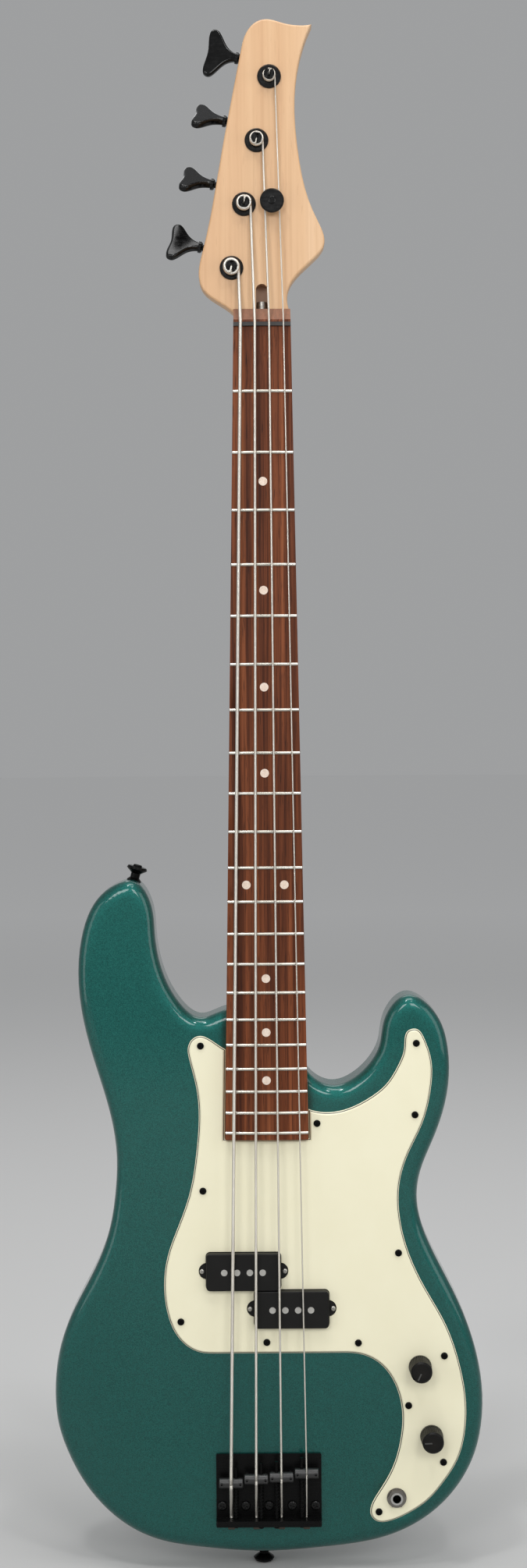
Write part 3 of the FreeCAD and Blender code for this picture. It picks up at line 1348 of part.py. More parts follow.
def key_paddle():
    """Collar and fan-shaped key, about +Z from the middle of the worm."""
    foot = V(0, 0, KEY_START)
    edge = KEY_COLLAR_R - KEY_COLLAR_EDGE
    collar = turned([(0, 0), (edge, 0), (KEY_COLLAR_R, KEY_COLLAR_EDGE), (KEY_COLLAR_R, KEY_COLLAR_L),
                     (0, KEY_COLLAR_L)], foot, V(0, 0, 1))
    wing = [(KEY_STEM_HALF, KEY_COLLAR_EDGE)] + list(KEY_WING)
    rim = wing + [(-t, n) for t, n in reversed(wing[:-1])]
    fan = spans(curve(flat(rim, 0, KEY_START)), KEY_SPANS)
    ends = flat((rim[-1], rim[0]), 0, KEY_START)
    plate = prism(fan + [Part.makeLine(ends[0], ends[1])], -KEY_T / 2, KEY_T / 2)
    rims = [e for e in plate.Edges if abs(abs(e.CenterOfMass.y) - KEY_T / 2) < FIT]
    rims = [e for e in rims if e.CenterOfMass.z > KEY_START + KEY_COLLAR_L]
    return collar.fuse(plate.makeFillet(KEY_ROUND, rims))


def tuner_key(i):
    """Worm on its shaft with the key, about +Z before it is placed."""
    core_half = BRACKET_N - WORM_PLAY
    core = Part.makeCylinder(WORM_R - GEAR_DEDENDUM, 2 * core_half, V(0, 0, -core_half))
    tail = BRACKET_N + BRACKET_T + SHAFT_PAST
    shaft = Part.makeCylinder(WORM_SHAFT_R, tail + KEY_START + KEY_COLLAR_L, V(0, 0, -tail))
    key = key_paddle()
    key.rotate(V(0, 0, 0), V(0, 0, 1), KEY_TURNS[i])
    unit = core.fuse(worm_thread()).fuse(shaft).fuse(key).removeSplitter()
    place, up, out = tuner_frame(i)
    turn = FreeCAD.Matrix(-up.x, 0, out.x, 0, -up.y, -1, out.y, 0, -up.z, 0, out.z, 0, 0, 0, 0, 1)
    spot = at_tuner(i, 0, WORM_OFFSET, GEAR_MID)
    unit.Placement = FreeCAD.Placement(spot, FreeCAD.Placement(turn).Rotation)
    return unit


# String retainer, strap buttons and neck fasteners

def retainer_place(y):
    """The retainer's place on the headstock at a depth."""
    return V(RETAINER_PLACE[0], y, STRIP_END + RETAINER_PLACE[1])


def string_retainer():
    """Round retainer that holds the two high strings down."""
    under = RETAINER_RISE
    rim = under + RETAINER_FLARE
    top = under + RETAINER_T
    bore = RETAINER_SCREW_R
    soft = (RETAINER_T - RETAINER_FLARE) / 2
    profile = [(bore, 0), (RETAINER_POST_R, 0), (RETAINER_POST_R, under), (RETAINER_R / 2, under),
               (RETAINER_R, rim), (RETAINER_R, rim + soft), (RETAINER_R - soft, top), (bore, top)]
    return turned(profile, retainer_place(FACE), V(0, -1, 0))


def retainer_screw():
    """Screw through the retainer into the headstock."""
    top = FACE - RETAINER_RISE - RETAINER_T
    length = RETAINER_RISE + RETAINER_T + RETAINER_SCREW_L
    head = (RETAINER_SCREW_HEAD_R, RETAINER_SCREW_HEAD_T)
    return screw(retainer_place(top), V(0, 1, 0), RETAINER_SCREW_R, length, *head)


def strap_places():
    """Seat and outward direction of the two strap buttons."""
    lean = math.radians(STRAP_TOP_LEAN)
    low = min(BODY_POINTS, key=lambda p: p[1])
    return ((V(STRAP_TOP[0], MID, STRAP_TOP[1]), V(math.sin(lean), 0, math.cos(lean))),
            (V(low[0], MID, low[1]), V(0, 0, -1)))


def strap_button(place, out):
    """Turned strap button, its foot let into the wood a little."""
    low = STRAP_FOOT_T + STRAP_FOOT_R - STRAP_WAIST_R
    rim = STRAP_H - STRAP_RIM_T
    soft = STRAP_RIM_T / 3
    profile = [(STRAP_SCREW_R, -STRAP_SINK), (STRAP_FOOT_R, -STRAP_SINK), (STRAP_FOOT_R, STRAP_FOOT_T),
               (STRAP_WAIST_R, low), (STRAP_WAIST_R, rim - STRAP_RIM_T), (STRAP_R - soft, rim),
               (STRAP_R, rim + soft), (STRAP_R - soft, STRAP_H), (STRAP_SCREW_R, STRAP_H)]
    return turned(profile, place, out)


def strap_screw(place, out):
    """Screw through a strap button."""
    head = (STRAP_SCREW_HEAD_R, STRAP_SCREW_HEAD_T)
    return screw(place + out * STRAP_H, out * -1, STRAP_SCREW_R, STRAP_SCREW_L + STRAP_H, *head)


def ferrule(x, z):
    """Recessed ring under a neck screw's head."""
    ring = washer(V(x, BACK - FERRULE_T, z), V(0, 1, 0), FERRULE_R, NECK_SCREW_R, FERRULE_T)
    return ring.cut(peg(x, z, NECK_SCREW_HEAD_R + FERRULE_GAP, BACK - FERRULE_T / 2, BACK + PAST))


def neck_screw(x, z):
    """Screw from the back through the body into the heel."""
    seat = BACK - FERRULE_T / 2
    length = seat - POCKET_DEPTH + NECK_SCREW_PAST
    head = (NECK_SCREW_HEAD_R, NECK_SCREW_HEAD_T)
    return screw(V(x, seat, z), V(0, -1, 0), NECK_SCREW_R, length, *head)


def all_pieces():
    """Every node's shape, in the drawing datum."""
    pieces = {}
    pieces.update(strings())
    pieces["ball_ends"] = ball_ends()
    grooves = [tube(string_edges(i), STRING_R[i] + SET_OFF) for i in range(4)]
    pieces.update(fingerboard_set())
    pieces["nut"] = nut_solid(grooves)
    pieces["truss_rod"] = truss_rod()
    pieces["truss_rod_nut"] = truss_nut()
    for i in range(4):
        pieces.update(saddle_set(i, grooves[i]))
        pieces["tuner_key_" + NAMES[i]] = tuner_key(i)
        pieces["tuner_post_" + NAMES[i]] = tuner_post(i)
    pieces["length_springs"] = length_springs()
    pieces["bridge_plate"] = bridge_plate()
    bridge_fasteners = bridge_screws()
    pieces["bridge_screws"] = joined(bridge_fasteners)
    pieces["tuner_bases"] = joined([tuner_base(i) for i in range(4)])
    bushings = [tuner_bushing(i) for i in range(4)]
    pieces["tuner_bushings"] = joined(bushings)
    tuner_fasteners = tuner_screws()
    pieces["tuner_screws"] = joined(tuner_fasteners)
    pieces["string_retainer"] = string_retainer()
    pieces["string_retainer_screw"] = retainer_screw()
    pieces["neck_screws"] = joined([neck_screw(x, z) for x, z in NECK_SCREW_PLACES])
    pieces["neck_ferrules"] = joined([ferrule(x, z) for x, z in NECK_SCREW_PLACES])
    back = V(0, 1, 0)
    post_holes = [rod(at_tuner(i, 0, 0, FACE), back, BUSHING_R, BUSHING_L) for i in range(4)]
    post_holes += [rod(at_tuner(i, 0, 0, FACE), back, POST_R + FIT, HEAD_T + PAST) for i in range(4)]
    neck_cuts = post_holes + tuner_fasteners + [truss_space(), retainer_screw(), pieces["neck_screws"]]
    pieces["neck"] = neck_solid().cut(joined(neck_cuts))
    places = strap_places()
    buttons = [strap_button(*p) for p in places]
    pieces["strap_buttons"] = joined(buttons)
    button_screws = [strap_screw(*p) for p in places]
    pieces["strap_button_screws"] = joined(button_screws)
    guard_fasteners = guard_screws()
    pieces["pickguard_screws"] = joined(guard_fasteners)
    pieces["pickguard"] = guard_solid()
    neck_shanks = [peg(x, z, NECK_SCREW_R, POCKET_DEPTH - PAST, BACK) for x, z in NECK_SCREW_PLACES]
    seats = [rod(p - o * STRAP_SINK, o, STRAP_FOOT_R, STRAP_H) for p, o in places]
    pieces["body"] = body_solid(guard_fasteners + bridge_fasteners + button_screws + seats + neck_shanks)
    for i in range(2):
        pieces.update(pickup_set(i))
        pieces["knob_" + KNOB_NAMES[i]] = knob_solid(i)
    pieces["pickup_foam"] = pickup_foam()
    pieces["pots"] = pots()
    pieces["output_jack"] = output_jack()
    pieces["control_nuts"] = control_nuts()
    pieces["tone_capacitor"] = capacitor()
    pieces["wiring"] = wiring()
    return pieces


os.makedirs("parts", exist_ok=True)
for name, shape in all_pieces().items():
    placed = shape.copy()
    placed.translate(HANG_POINT * -1)
    placed.exportStep("parts/" + name + ".step")
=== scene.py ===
"""Looks of the electric bass guitar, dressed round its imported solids."""

import json
import math

import bmesh
import bpy
from mathutils import Matrix, Vector


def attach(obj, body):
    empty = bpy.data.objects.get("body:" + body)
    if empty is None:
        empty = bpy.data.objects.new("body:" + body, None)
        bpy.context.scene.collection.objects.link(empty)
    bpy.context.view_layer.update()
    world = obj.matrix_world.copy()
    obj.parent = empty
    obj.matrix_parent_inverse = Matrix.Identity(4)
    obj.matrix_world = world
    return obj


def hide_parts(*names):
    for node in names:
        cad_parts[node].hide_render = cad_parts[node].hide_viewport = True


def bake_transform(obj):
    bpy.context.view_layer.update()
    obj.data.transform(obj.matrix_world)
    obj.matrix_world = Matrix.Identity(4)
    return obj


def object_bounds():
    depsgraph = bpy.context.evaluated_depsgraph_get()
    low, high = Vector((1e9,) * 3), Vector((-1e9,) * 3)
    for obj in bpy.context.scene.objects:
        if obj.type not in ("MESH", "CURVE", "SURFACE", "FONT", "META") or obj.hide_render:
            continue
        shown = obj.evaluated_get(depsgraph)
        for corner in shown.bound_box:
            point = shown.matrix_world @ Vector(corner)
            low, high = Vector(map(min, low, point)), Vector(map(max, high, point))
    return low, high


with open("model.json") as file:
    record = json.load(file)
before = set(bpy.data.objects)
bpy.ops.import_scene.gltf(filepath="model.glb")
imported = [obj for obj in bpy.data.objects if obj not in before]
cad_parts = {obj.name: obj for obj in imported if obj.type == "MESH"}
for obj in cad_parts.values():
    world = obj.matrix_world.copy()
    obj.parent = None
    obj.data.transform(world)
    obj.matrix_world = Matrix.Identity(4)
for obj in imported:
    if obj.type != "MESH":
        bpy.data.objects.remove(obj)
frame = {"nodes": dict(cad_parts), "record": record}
nodes = frame["nodes"]
cad_box = [list(corner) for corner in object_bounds()]

# Places and sizes of the design in millimetres: x to the treble side, y to the back, z up the neck.
# A row of four goes from the lowest string to the highest.

ORIGIN = Vector((0, 4.5, 879.5))  # the place that is the frame's origin
MM_PER_M = 1000

# Strings, where they cross the saddles and the nut, and the holes in the bridge's wall
NAMES = ("e", "a", "d", "g")
STRING_R = (1.33, 1.08, 0.83, 0.57)
SADDLES = ((-28.575, -14.268, -9.4), (-9.525, -15.451, -6.0),
           (9.525, -15.201, -4.6), (28.575, -13.508, -2.3))
NUTS = ((-16.05, -11.972, 866.38), (-5.35, -12.174, 866.38),
        (5.35, -11.924, 866.38), (16.05, -11.212, 866.38))
WALL_HOLE_Y = -5.0
WALL_HOLE_Z = -41.48
WALL_MOUTH_Z = -35.8
RETAINER_Z = 956.9
RETAINER_Y = (0, 0, -7.12, -7.38)  # 0 where a string passes beside the retainer
LEVEL_RUN = 9.0  # last stretch before the post, level with the first turn
SADDLE_REACH = 110.0  # length next to the saddle, laid out in short steps
WINDING_PITCH = 0.4  # between two ridges of the winding, as a share of the string's radius
BEND_REACH = 1.2
BEND_STEPS = 6
TAIL_STEP = 4.0
LENGTH_STEP = 5.0
STRING_SIDES = 12

# Tuner posts, and the turns of string on them
POSTS = ((-22.6, 908.4), (-12.931, 955.926), (-3.261, 1003.453), (6.408, 1050.979))
POST_WAIST_R = 3.7
POST_TILT = math.radians(11.5)
COIL_TOP = (-10.27, -10.4, -10.03, -9.09)
COIL_PITCH = (2.76, 2.26, 1.76, 1.24)
COIL_HALF_TURNS = (3, 4, 5, 6)
COIL_STEPS = 40  # in a turn

# A string's end: steps on from the last turn, then bends by angle, share of the radius, depth
END_STEPS = 8
END_STEPS_KEPT = 6
END_BENDS = ((-0.18, 0.97, 0.0), (0.0, 0.78, 0.0), (0.0, 0.45, 0.0), (0.0, 0.2, 0.3))
SLOT_FLOOR = -7.3
SLOT_GAP = 0.05

# Length springs, between the bridge's wall and the saddles
SPRING_XS = (-24.875, -5.825, 5.825, 24.875)
SPRING_YS = (-9.738, -11.171, -11.171, -9.738)
SPRING_R = 1.75
SPRING_WIRE_R = 0.25
SPRING_TURNS = 10
SPRING_STEPS = 20  # in a turn
SPRING_SIDES = 8
WALL_Z = -37.0
SADDLE_R = 4.0

# Foam under the pickup halves
FOAM_NAMES = ("upper", "lower")
FOAM_CENTRES = ((-18.3, 150.5), (18.1, 121.7))
FOAM_SIZE = (47.1, 19.0)
FOAM_FRONT = 7.0
FOAM_BACK = 16.0
FOAM_ROUND = 1.2
FOAM_ROUND_STEPS = 3
FOAM_LONG_EDGE = 6.0  # edges longer than this are cut up
FOAM_CUTS = 5
FOAM_RIPPLE = 0.08
FOAM_RIPPLE_TURNS = (900, 1100)  # radians to a metre, across and along

# Painted pointers in the knobs' faces: node, x, z, clockwise turn from the top
KNOBS = (("knob_volume", 115.4, 76.8, 205.0), ("knob_tone", 123.9, 23.4, 268.0))
KNOB_TOP = -20.4
POINTER_DEPTH = 0.5  # of the groove; the paint's middle and its height are shares of it
POINTER_MIDDLE = 0.6
POINTER_FILL = 0.8
POINTER_W = 1.1
POINTER_START = 0.6
POINTER_END = 6.4
POINTER_ROUND = 0.12
POINTER_ROUND_STEPS = 2

# Where a material changes. The truss rod's slot fades in and out over a pair of ranges.
TRUSS_SIDE = (4.6, 5.0)
TRUSS_DEPTH = ((-2.3, -1.5), (8.5, 9.0))
TRUSS_LENGTH = ((876.5, 877.5), (899.0, 900.0))
# Past this the rosewood is painted paler: painted light on the upward-facing strip behind the nut
PAINTED_LIGHT_STRIP_START = (868.6, 869.0)
GUARD_TOP = -2.4
GUARD_T = 2.4
GUARD_PLIES = (0.85, 1.4)  # depths at which the dark middle layer starts and ends
RIM_SOFTENING = 12.0  # reach of the lacquer's softer shading over the body's edges
RIM_SAMPLES = 6

# Camera, as fitted to the frets, the nut and the bridge of the photograph, in pixels and metres
PHOTO_H = 2010
FOCAL_PX = 2744.04
CAMERA_AT = Vector((-0.0009, -1.6240, -0.3200))
CAMERA_PITCH = math.radians(-1.3812)
CAMERA_ROLL = -0.0060293
CAMERA_FAR = 50

# Stage, in metres: the floor's tones and where they change, the lights and the world
FLOOR_R = 30.0
FLOOR_SIDES = 96
FLOOR_FRONT = (0.42, 0.42, 0.415, 1.0)
FLOOR_BEHIND = (0.68, 0.68, 0.675, 1.0)
FLOOR_FAR = (0.97, 0.97, 0.97, 1.0)
FLOOR_TO_BEHIND = (-0.3, 0.5)
FLOOR_TO_FAR = (0.8, 6.0)
LIGHTS = (  # name, place, aim, width and height, watts
    ("light_key_left", (-0.5, -0.9, 1.6), (0, 0, -0.6), (0.22, 0.22), 7),
    ("light_key_right", (0.6, -1.1, 1.4), (0, 0, -0.6), (0.22, 0.22), 5),
    ("light_front_left", (-0.7, -2.2, 0.45), (0, 0, -0.5), (0.7, 0.8), 12.5),
    ("light_front_right", (0.7, -2.2, 0.45), (0, 0, -0.5), (0.7, 0.8), 12.5),
    ("light_top", (0.1, -0.3, 1.5), (0, 0, -0.6), (1.2, 0.6), 11),
    ("light_left", (-1.4, -0.9, -0.3), (0, 0, -0.6), (0.7, 1.2), 4),
    ("light_right", (1.4, -0.8, -0.1), (0, 0, -0.6), (0.9, 1.2), 5.5),
    ("light_back", (0.2, 1.9, 1.3), (0, 0, -0.4), (1.8, 1.0), 8),
)
WORLD_COLOUR = (0.8, 0.81, 0.82, 1)
WORLD_STRENGTH = 0.43


def at(x, y, z):
    """A place of the design as a point of the frame, in metres."""
    return (Vector((x, y, z)) - ORIGIN) / MM_PER_M


def colour(red, green, blue):
    """A colour given as it looks on a screen, 0 to 255 by the sRGB curve, as a shader takes it."""
    parts = []
    for value in (red, green, blue):
        value /= 255
        parts.append(value / 12.92 if value <= 0.04045 else ((value + 0.055) / 1.055) ** 2.4)
    return (*parts, 1.0)


# Materials

BLACK = (0, 0, 0, 1)
WHITE = (1, 1, 1, 1)


class Shader:
    """A material with short ways to add and join its nodes."""

    def __init__(self, name, **values):
        self.material = bpy.data.materials.new(name)
        self.material.use_nodes = True
        self.tree = self.material.node_tree
        self.surface = self.tree.nodes["Principled BSDF"]
        for key, value in values.items():
            socket = key.replace("_", " ").title().replace("Ior", "IOR")
            self.surface.inputs[socket].default_value = value
        self.place = self.node("ShaderNodeTexCoord").outputs["Object"]

    def node(self, kind, inputs=None, **settings):
        """A new node with its settings, and its inputs set or joined."""
        made = self.tree.nodes.new(kind)
        for key, value in settings.items():
            setattr(made, key, value)
        for key, value in (inputs or {}).items():
            self.give(made.inputs[key], value)
        return made

    def give(self, socket, value):
        """Joins another node's output to a socket, or sets the socket's own value."""
        if isinstance(value, bpy.types.NodeSocket):
            self.tree.links.new(value, socket)
        else:
            socket.default_value = value

    def axis(self, letter):
        """The place along X, Y or Z."""
        return self.node("ShaderNodeSeparateXYZ", {"Vector": self.place}).outputs[letter]

    def stretched(self, scale):
        """The place with each axis scaled."""
        mapping = self.node("ShaderNodeMapping", {"Vector": self.place, "Scale": scale})
        return mapping.outputs["Vector"]

    def noise(self, vector, scale=1.0, detail=3.0, roughness=0.5, distortion=0.0):
        """Soft noise, 0 to 1."""
        made = self.node("ShaderNodeTexNoise", {"Vector": vector, "Scale": scale, "Detail": detail,
                                                "Roughness": roughness, "Distortion": distortion})
        return made.outputs["Fac"]

    def cells(self, scale):
        """Outputs of a pattern of cells."""
        return self.node("ShaderNodeTexVoronoi", {"Vector": self.place, "Scale": scale}).outputs

    def ramp(self, value, stops, interpolation="LINEAR"):
        """A colour for a value, from stops in rising order."""
        made = self.node("ShaderNodeValToRGB", {"Fac": value})
        made.color_ramp.interpolation = interpolation
        while len(made.color_ramp.elements) < len(stops):
            made.color_ramp.elements.new(0.5)
        for element, (position, shade) in zip(made.color_ramp.elements, stops):
            element.position = position
            element.color = shade
        return made.outputs["Color"]

    def span(self, value, source, target=(0.0, 1.0)):
        """A value carried from one range to another, and held at its ends."""
        made = self.node("ShaderNodeMapRange", {
            "Value": value, "From Min": source[0], "From Max": source[1],
            "To Min": target[0], "To Max": target[1]})
        return made.outputs["Result"]

    def window(self, value, rise, fall):
        """1 between the range where it rises and the range where it falls, 0 outside them."""
        return self.maths("MULTIPLY", self.span(value, rise), self.span(value, fall, (1.0, 0.0)))

    def maths(self, operation, a, b=0.0):
        """One operation on two values."""
        return self.node("ShaderNodeMath", {0: a, 1: b}, operation=operation).outputs[0]

    def mixed(self, share, a, b):
        """Colour a with a share of colour b."""
        made = self.node("ShaderNodeMix", data_type="RGBA")
        self.give(made.inputs["Factor"], share)
        for letter, value in (("A", a), ("B", b)):
            sockets = [s for s in made.inputs if s.name == letter and s.type == "RGBA"]
            self.give(sockets[0], value)
        return [s for s in made.outputs if s.type == "RGBA"][0]

    def bumped(self, height, strength, distance, under=None):
        """The surface's direction with a height laid on it."""
        made = self.node("ShaderNodeBump", {
            "Height": height, "Strength": strength, "Distance": distance})
        if under is not None:
            self.give(made.inputs["Normal"], under)
        return made.outputs["Normal"]

    def edges(self, source):
        """1 on worn convex edges, 0 elsewhere."""
        return self.span(self.node("ShaderNodeNewGeometry").outputs["Pointiness"], source)

    def finish(self, base=None, rough=None, normal=None):
        """Joins what was made to the surface."""
        for key, value in (("Base Color", base), ("Roughness", rough), ("Normal", normal)):
            if value is not None:
                self.give(self.surface.inputs[key], value)
        return self.material


def lacquer():
    """Teal metallic lacquer: small flakes under a deep clear coat, softer over the body's edges."""
    s = Shader("lacquer", metallic=0.96, coat_weight=1.0, coat_roughness=0.1, coat_ior=1.45)
    flake = s.cells(scale=2600.0)["Color"]
    tone = s.node("ShaderNodeSeparateColor", {"Color": flake}).outputs["Red"]
    cloud = s.noise(s.place, scale=9.0, detail=2.0)
    deep = s.mixed(cloud, colour(8, 70, 66), colour(13, 79, 74))
    base = s.mixed(s.span(tone, (0.0, 1.0), (0.0, 0.5)), deep, colour(41, 136, 126))
    rough = s.span(tone, (0.0, 1.0), (0.42, 0.54))
    soft = s.node("ShaderNodeBevel", {"Radius": RIM_SOFTENING / MM_PER_M}, samples=RIM_SAMPLES)
    sparkle = s.bumped(tone, strength=0.16, distance=0.0002, under=soft.outputs["Normal"])
    return s.finish(base, rough, sparkle)


def maple():
    """Pale maple under a satin coat, with fine grain, and darker bare wood in the truss slot."""
    s = Shader("maple", coat_weight=0.25, coat_roughness=0.3)
    broad = s.noise(s.stretched((38, 38, 1.6)), detail=3.0, roughness=0.55, distortion=0.6)
    lines = s.noise(s.stretched((420, 420, 5)), detail=4.0, roughness=0.6)
    flecks = s.noise(s.stretched((900, 900, 70)), detail=2.0)
    base = s.ramp(broad, ((0.25, colour(198, 154, 112)), (0.55, colour(210, 170, 128)),
                          (0.8, colour(218, 182, 143))))
    base = s.mixed(s.span(lines, (0.48, 0.72), (0.0, 0.35)), base, colour(184, 138, 96))
    base = s.mixed(s.span(flecks, (0.62, 0.75), (0.0, 0.22)), base, colour(164, 118, 80))
    sides = [half / MM_PER_M for half in TRUSS_SIDE]
    aside = s.span(s.maths("ABSOLUTE", s.axis("X")), sides, (1.0, 0.0))
    deep = s.window(s.axis("Y"), *([at(0, y, 0).y for y in ends] for ends in TRUSS_DEPTH))
    near = s.window(s.axis("Z"), *([at(0, 0, z).z for z in ends] for ends in TRUSS_LENGTH))
    slot = s.maths("MULTIPLY", s.maths("MULTIPLY", aside, deep), near)
    base = s.mixed(slot, base, colour(172, 132, 100))
    rough = s.span(lines, (0.3, 0.7), (0.36, 0.5))
    return s.finish(base, rough, s.bumped(lines, strength=0.08, distance=0.0002))


def rosewood():
    """Oiled rosewood with dark streaks and open pores, and painted light that makes the sloped
    strip behind the nut paler.
    """
    s = Shader("rosewood", specular_ior_level=0.15)
    streaks = s.noise(s.stretched((170, 170, 2.2)), detail=4.0, roughness=0.62, distortion=0.35)
    fine = s.noise(s.stretched((760, 760, 9)), detail=3.0, roughness=0.6)
    pores = s.noise(s.stretched((1500, 1500, 60)), detail=2.0)
    base = s.ramp(streaks, ((0.3, colour(56, 26, 13)), (0.45, colour(95, 49, 27)),
                            (0.6, colour(124, 68, 40)), (0.75, colour(154, 92, 57))))
    base = s.mixed(s.span(fine, (0.48, 0.7), (0.0, 0.65)), base, colour(46, 20, 14))
    base = s.mixed(s.span(pores, (0.6, 0.7), (0.0, 0.7)), base, colour(34, 18, 14))
    # Painted light: the strip behind the nut, which slopes up towards the lamps, is painted paler.
    behind = [at(0, 0, z).z for z in PAINTED_LIGHT_STRIP_START]
    base = s.mixed(s.span(s.axis("Z"), behind, (0.0, 0.55)), base, colour(160, 120, 98))
    rough = s.span(fine, (0.3, 0.7), (0.42, 0.62))
    return s.finish(base, rough, s.bumped(pores, strength=0.25, distance=0.0002))


def brushed(name, shade, worn, rough, grain, **values):
    """A metal with fine brushed lines, soft smudges and paler edges."""
    s = Shader(name, **values)
    shade, worn = colour(*shade), colour(*worn)
    lines = s.noise(s.stretched(grain), detail=2.0)
    smudge = s.noise(s.place, scale=160.0, detail=3.0, roughness=0.6)
    film = s.span(smudge, (0.35, 0.7), (0.0, 0.1))
    rough = s.maths("ADD", s.span(lines, (0.3, 0.7), rough), film)
    face = s.mixed(s.span(smudge, (0.3, 0.8), (0.0, 0.25)), shade, worn)
    base = s.mixed(s.edges((0.52, 0.62)), face, worn)
    return s.finish(base, rough, s.bumped(lines, strength=0.06, distance=0.0001))


def wound_wire():
    """Round-wound nickel steel: ridges wound round the string, read from the tube's own length,
    with painted shade in their grooves.
    """
    s = Shader("string_wire", metallic=1.0)
    plan = s.node("ShaderNodeUVMap", uv_map="winding").outputs["UV"]
    split = s.node("ShaderNodeSeparateXYZ", {"Vector": plan})
    turn = s.maths("ADD", split.outputs["Y"], split.outputs["X"])
    wave = s.maths("SINE", s.maths("MULTIPLY", turn, 2 * math.pi))
    height = s.span(wave, (-1.0, 1.0))
    tarnish = s.noise(s.stretched((60, 60, 14)), detail=3.0, roughness=0.6)
    base = s.mixed(s.span(tarnish, (0.35, 0.75), (0.0, 0.5)),
                   colour(230, 226, 217), colour(200, 192, 179))
    # Painted shade: the grooves between the winding's ridges are darkened.
    base = s.mixed(s.span(height, (0.0, 0.35), (0.4, 0.0)), base, colour(120, 112, 104))
    rough = s.span(tarnish, (0.3, 0.7), (0.34, 0.5))
    return s.finish(base, rough, s.bumped(height, strength=0.5, distance=0.0002))


def guard_ply():
    """Cream sheet over a dark core over cream, told apart by depth on the bevelled rim."""
    s = Shader("guard_ply", specular_ior_level=0.45)
    top = at(0, GUARD_TOP, 0).y
    share = s.span(s.axis("Y"), (top, top + GUARD_T / MM_PER_M))
    mottle = s.noise(s.place, scale=30.0, detail=3.0, roughness=0.6)
    cream = s.mixed(mottle, colour(238, 232, 201), colour(243, 238, 210))
    start, end = (depth / GUARD_T for depth in GUARD_PLIES)
    core = s.ramp(share, ((0.0, BLACK), (start, WHITE), (end, BLACK)), "CONSTANT")
    base = s.mixed(core, cream, colour(46, 50, 50))
    grain = s.noise(s.place, scale=2200.0, detail=2.0)
    rough = s.span(mottle, (0.3, 0.7), (0.3, 0.4))
    return s.finish(base, rough, s.bumped(grain, strength=0.03, distance=0.0001))


def moulded(name, shade, worn, rough, grain, strength):
    """A moulded plastic with a fine skin, faint smudges and slightly polished edges."""
    s = Shader(name, specular_ior_level=0.25)
    shade, worn = colour(*shade), colour(*worn)
    skin = s.noise(s.place, scale=grain, detail=2.0)
    smudge = s.noise(s.place, scale=70.0, detail=3.0, roughness=0.6)
    rough = s.span(smudge, (0.3, 0.7), rough)
    face = s.mixed(s.span(smudge, (0.3, 0.8), (0.0, 0.4)), shade, worn)
    base = s.mixed(s.edges((0.52, 0.6)), face, worn)
    return s.finish(base, rough, s.bumped(skin, strength=strength, distance=0.0001))


def pearl():
    """Pale position dots with a faint pearly cloud."""
    s = Shader("pearl", coat_weight=0.3, coat_roughness=0.2)
    cloud = s.noise(s.place, scale=420.0, detail=3.0, roughness=0.6, distortion=1.0)
    base = s.ramp(cloud, ((0.3, colour(220, 196, 176)), (0.6, colour(238, 220, 204)),
                          (0.8, colour(246, 234, 222))))
    return s.finish(base, s.span(cloud, (0.3, 0.7), (0.25, 0.4)))


def foam_skin():
    """Open-cell grey foam."""
    s = Shader("foam")
    pores = s.cells(scale=1300.0)["Distance"]
    base = s.mixed(s.span(pores, (0.1, 0.6)), colour(38, 38, 40), colour(70, 70, 74))
    rough = s.span(pores, (0.0, 0.6), (0.8, 0.98))
    return s.finish(base, rough, s.bumped(pores, strength=0.6, distance=0.0005))


def copper_winding():
    """Enamelled copper wire in fine layers round a coil."""
    s = Shader("coil_wire", metallic=0.8)
    wave = {"Vector": s.place, "Scale": 1400.0, "Distortion": 0.6}
    layers = s.node("ShaderNodeTexWave", wave, bands_direction="Y").outputs["Fac"]
    base = s.mixed(layers, colour(96, 42, 22), colour(176, 92, 52))
    rough = s.span(layers, (0.0, 1.0), (0.3, 0.5))
    return s.finish(base, rough, s.bumped(layers, strength=0.4, distance=0.0002))


METALS = (  # name, shade, worn edges' shade, range of roughness, brushing along each axis, more
    ("fret_wire", (206, 202, 190), (232, 229, 220), (0.2, 0.32), (30, 900, 900), {"metallic": 1.0}),
    # ball_brass is darkened as painted shade, for the shadow of the bridge's wall over the ball
    # ends.
    ("ball_brass", (58, 55, 49), (92, 87, 78), (0.3, 0.45), (400, 400, 60), {"metallic": 1.0}),
    ("black_metal", (3, 3, 3), (13, 13, 13), (0.2, 0.28), (60, 700, 700),
     {"specular_ior_level": 0.12}),
    # knob_metal's paler worn shade on the knurl's edges is wear and a painted glint.
    ("knob_metal", (3, 3, 3), (40, 38, 35), (0.3, 0.4), (60, 700, 700),
     {"specular_ior_level": 0.18}),
    ("black_gloss", (4, 4, 4), (18, 18, 18), (0.1, 0.18), (60, 700, 700),
     {"specular_ior_level": 0.32}),
    ("saddle_metal", (6, 6, 6), (26, 26, 26), (0.32, 0.42), (60, 800, 800),
     {"specular_ior_level": 0.75}),
    ("steel", (176, 174, 168), (214, 212, 206), (0.28, 0.42), (500, 80, 500), {"metallic": 1.0}),
    # dark_steel is steel darkened as painted shade for the truss rod's nut deep in its slot, and as
    # a painted dark reflection on the chrome control nuts.
    ("dark_steel", (64, 61, 57), (140, 136, 130), (0.22, 0.36), (500, 80, 500), {"metallic": 1.0}),
    ("chrome", (172, 171, 168), (220, 219, 216), (0.05, 0.12), (300, 300, 60), {"metallic": 1.0}),
)
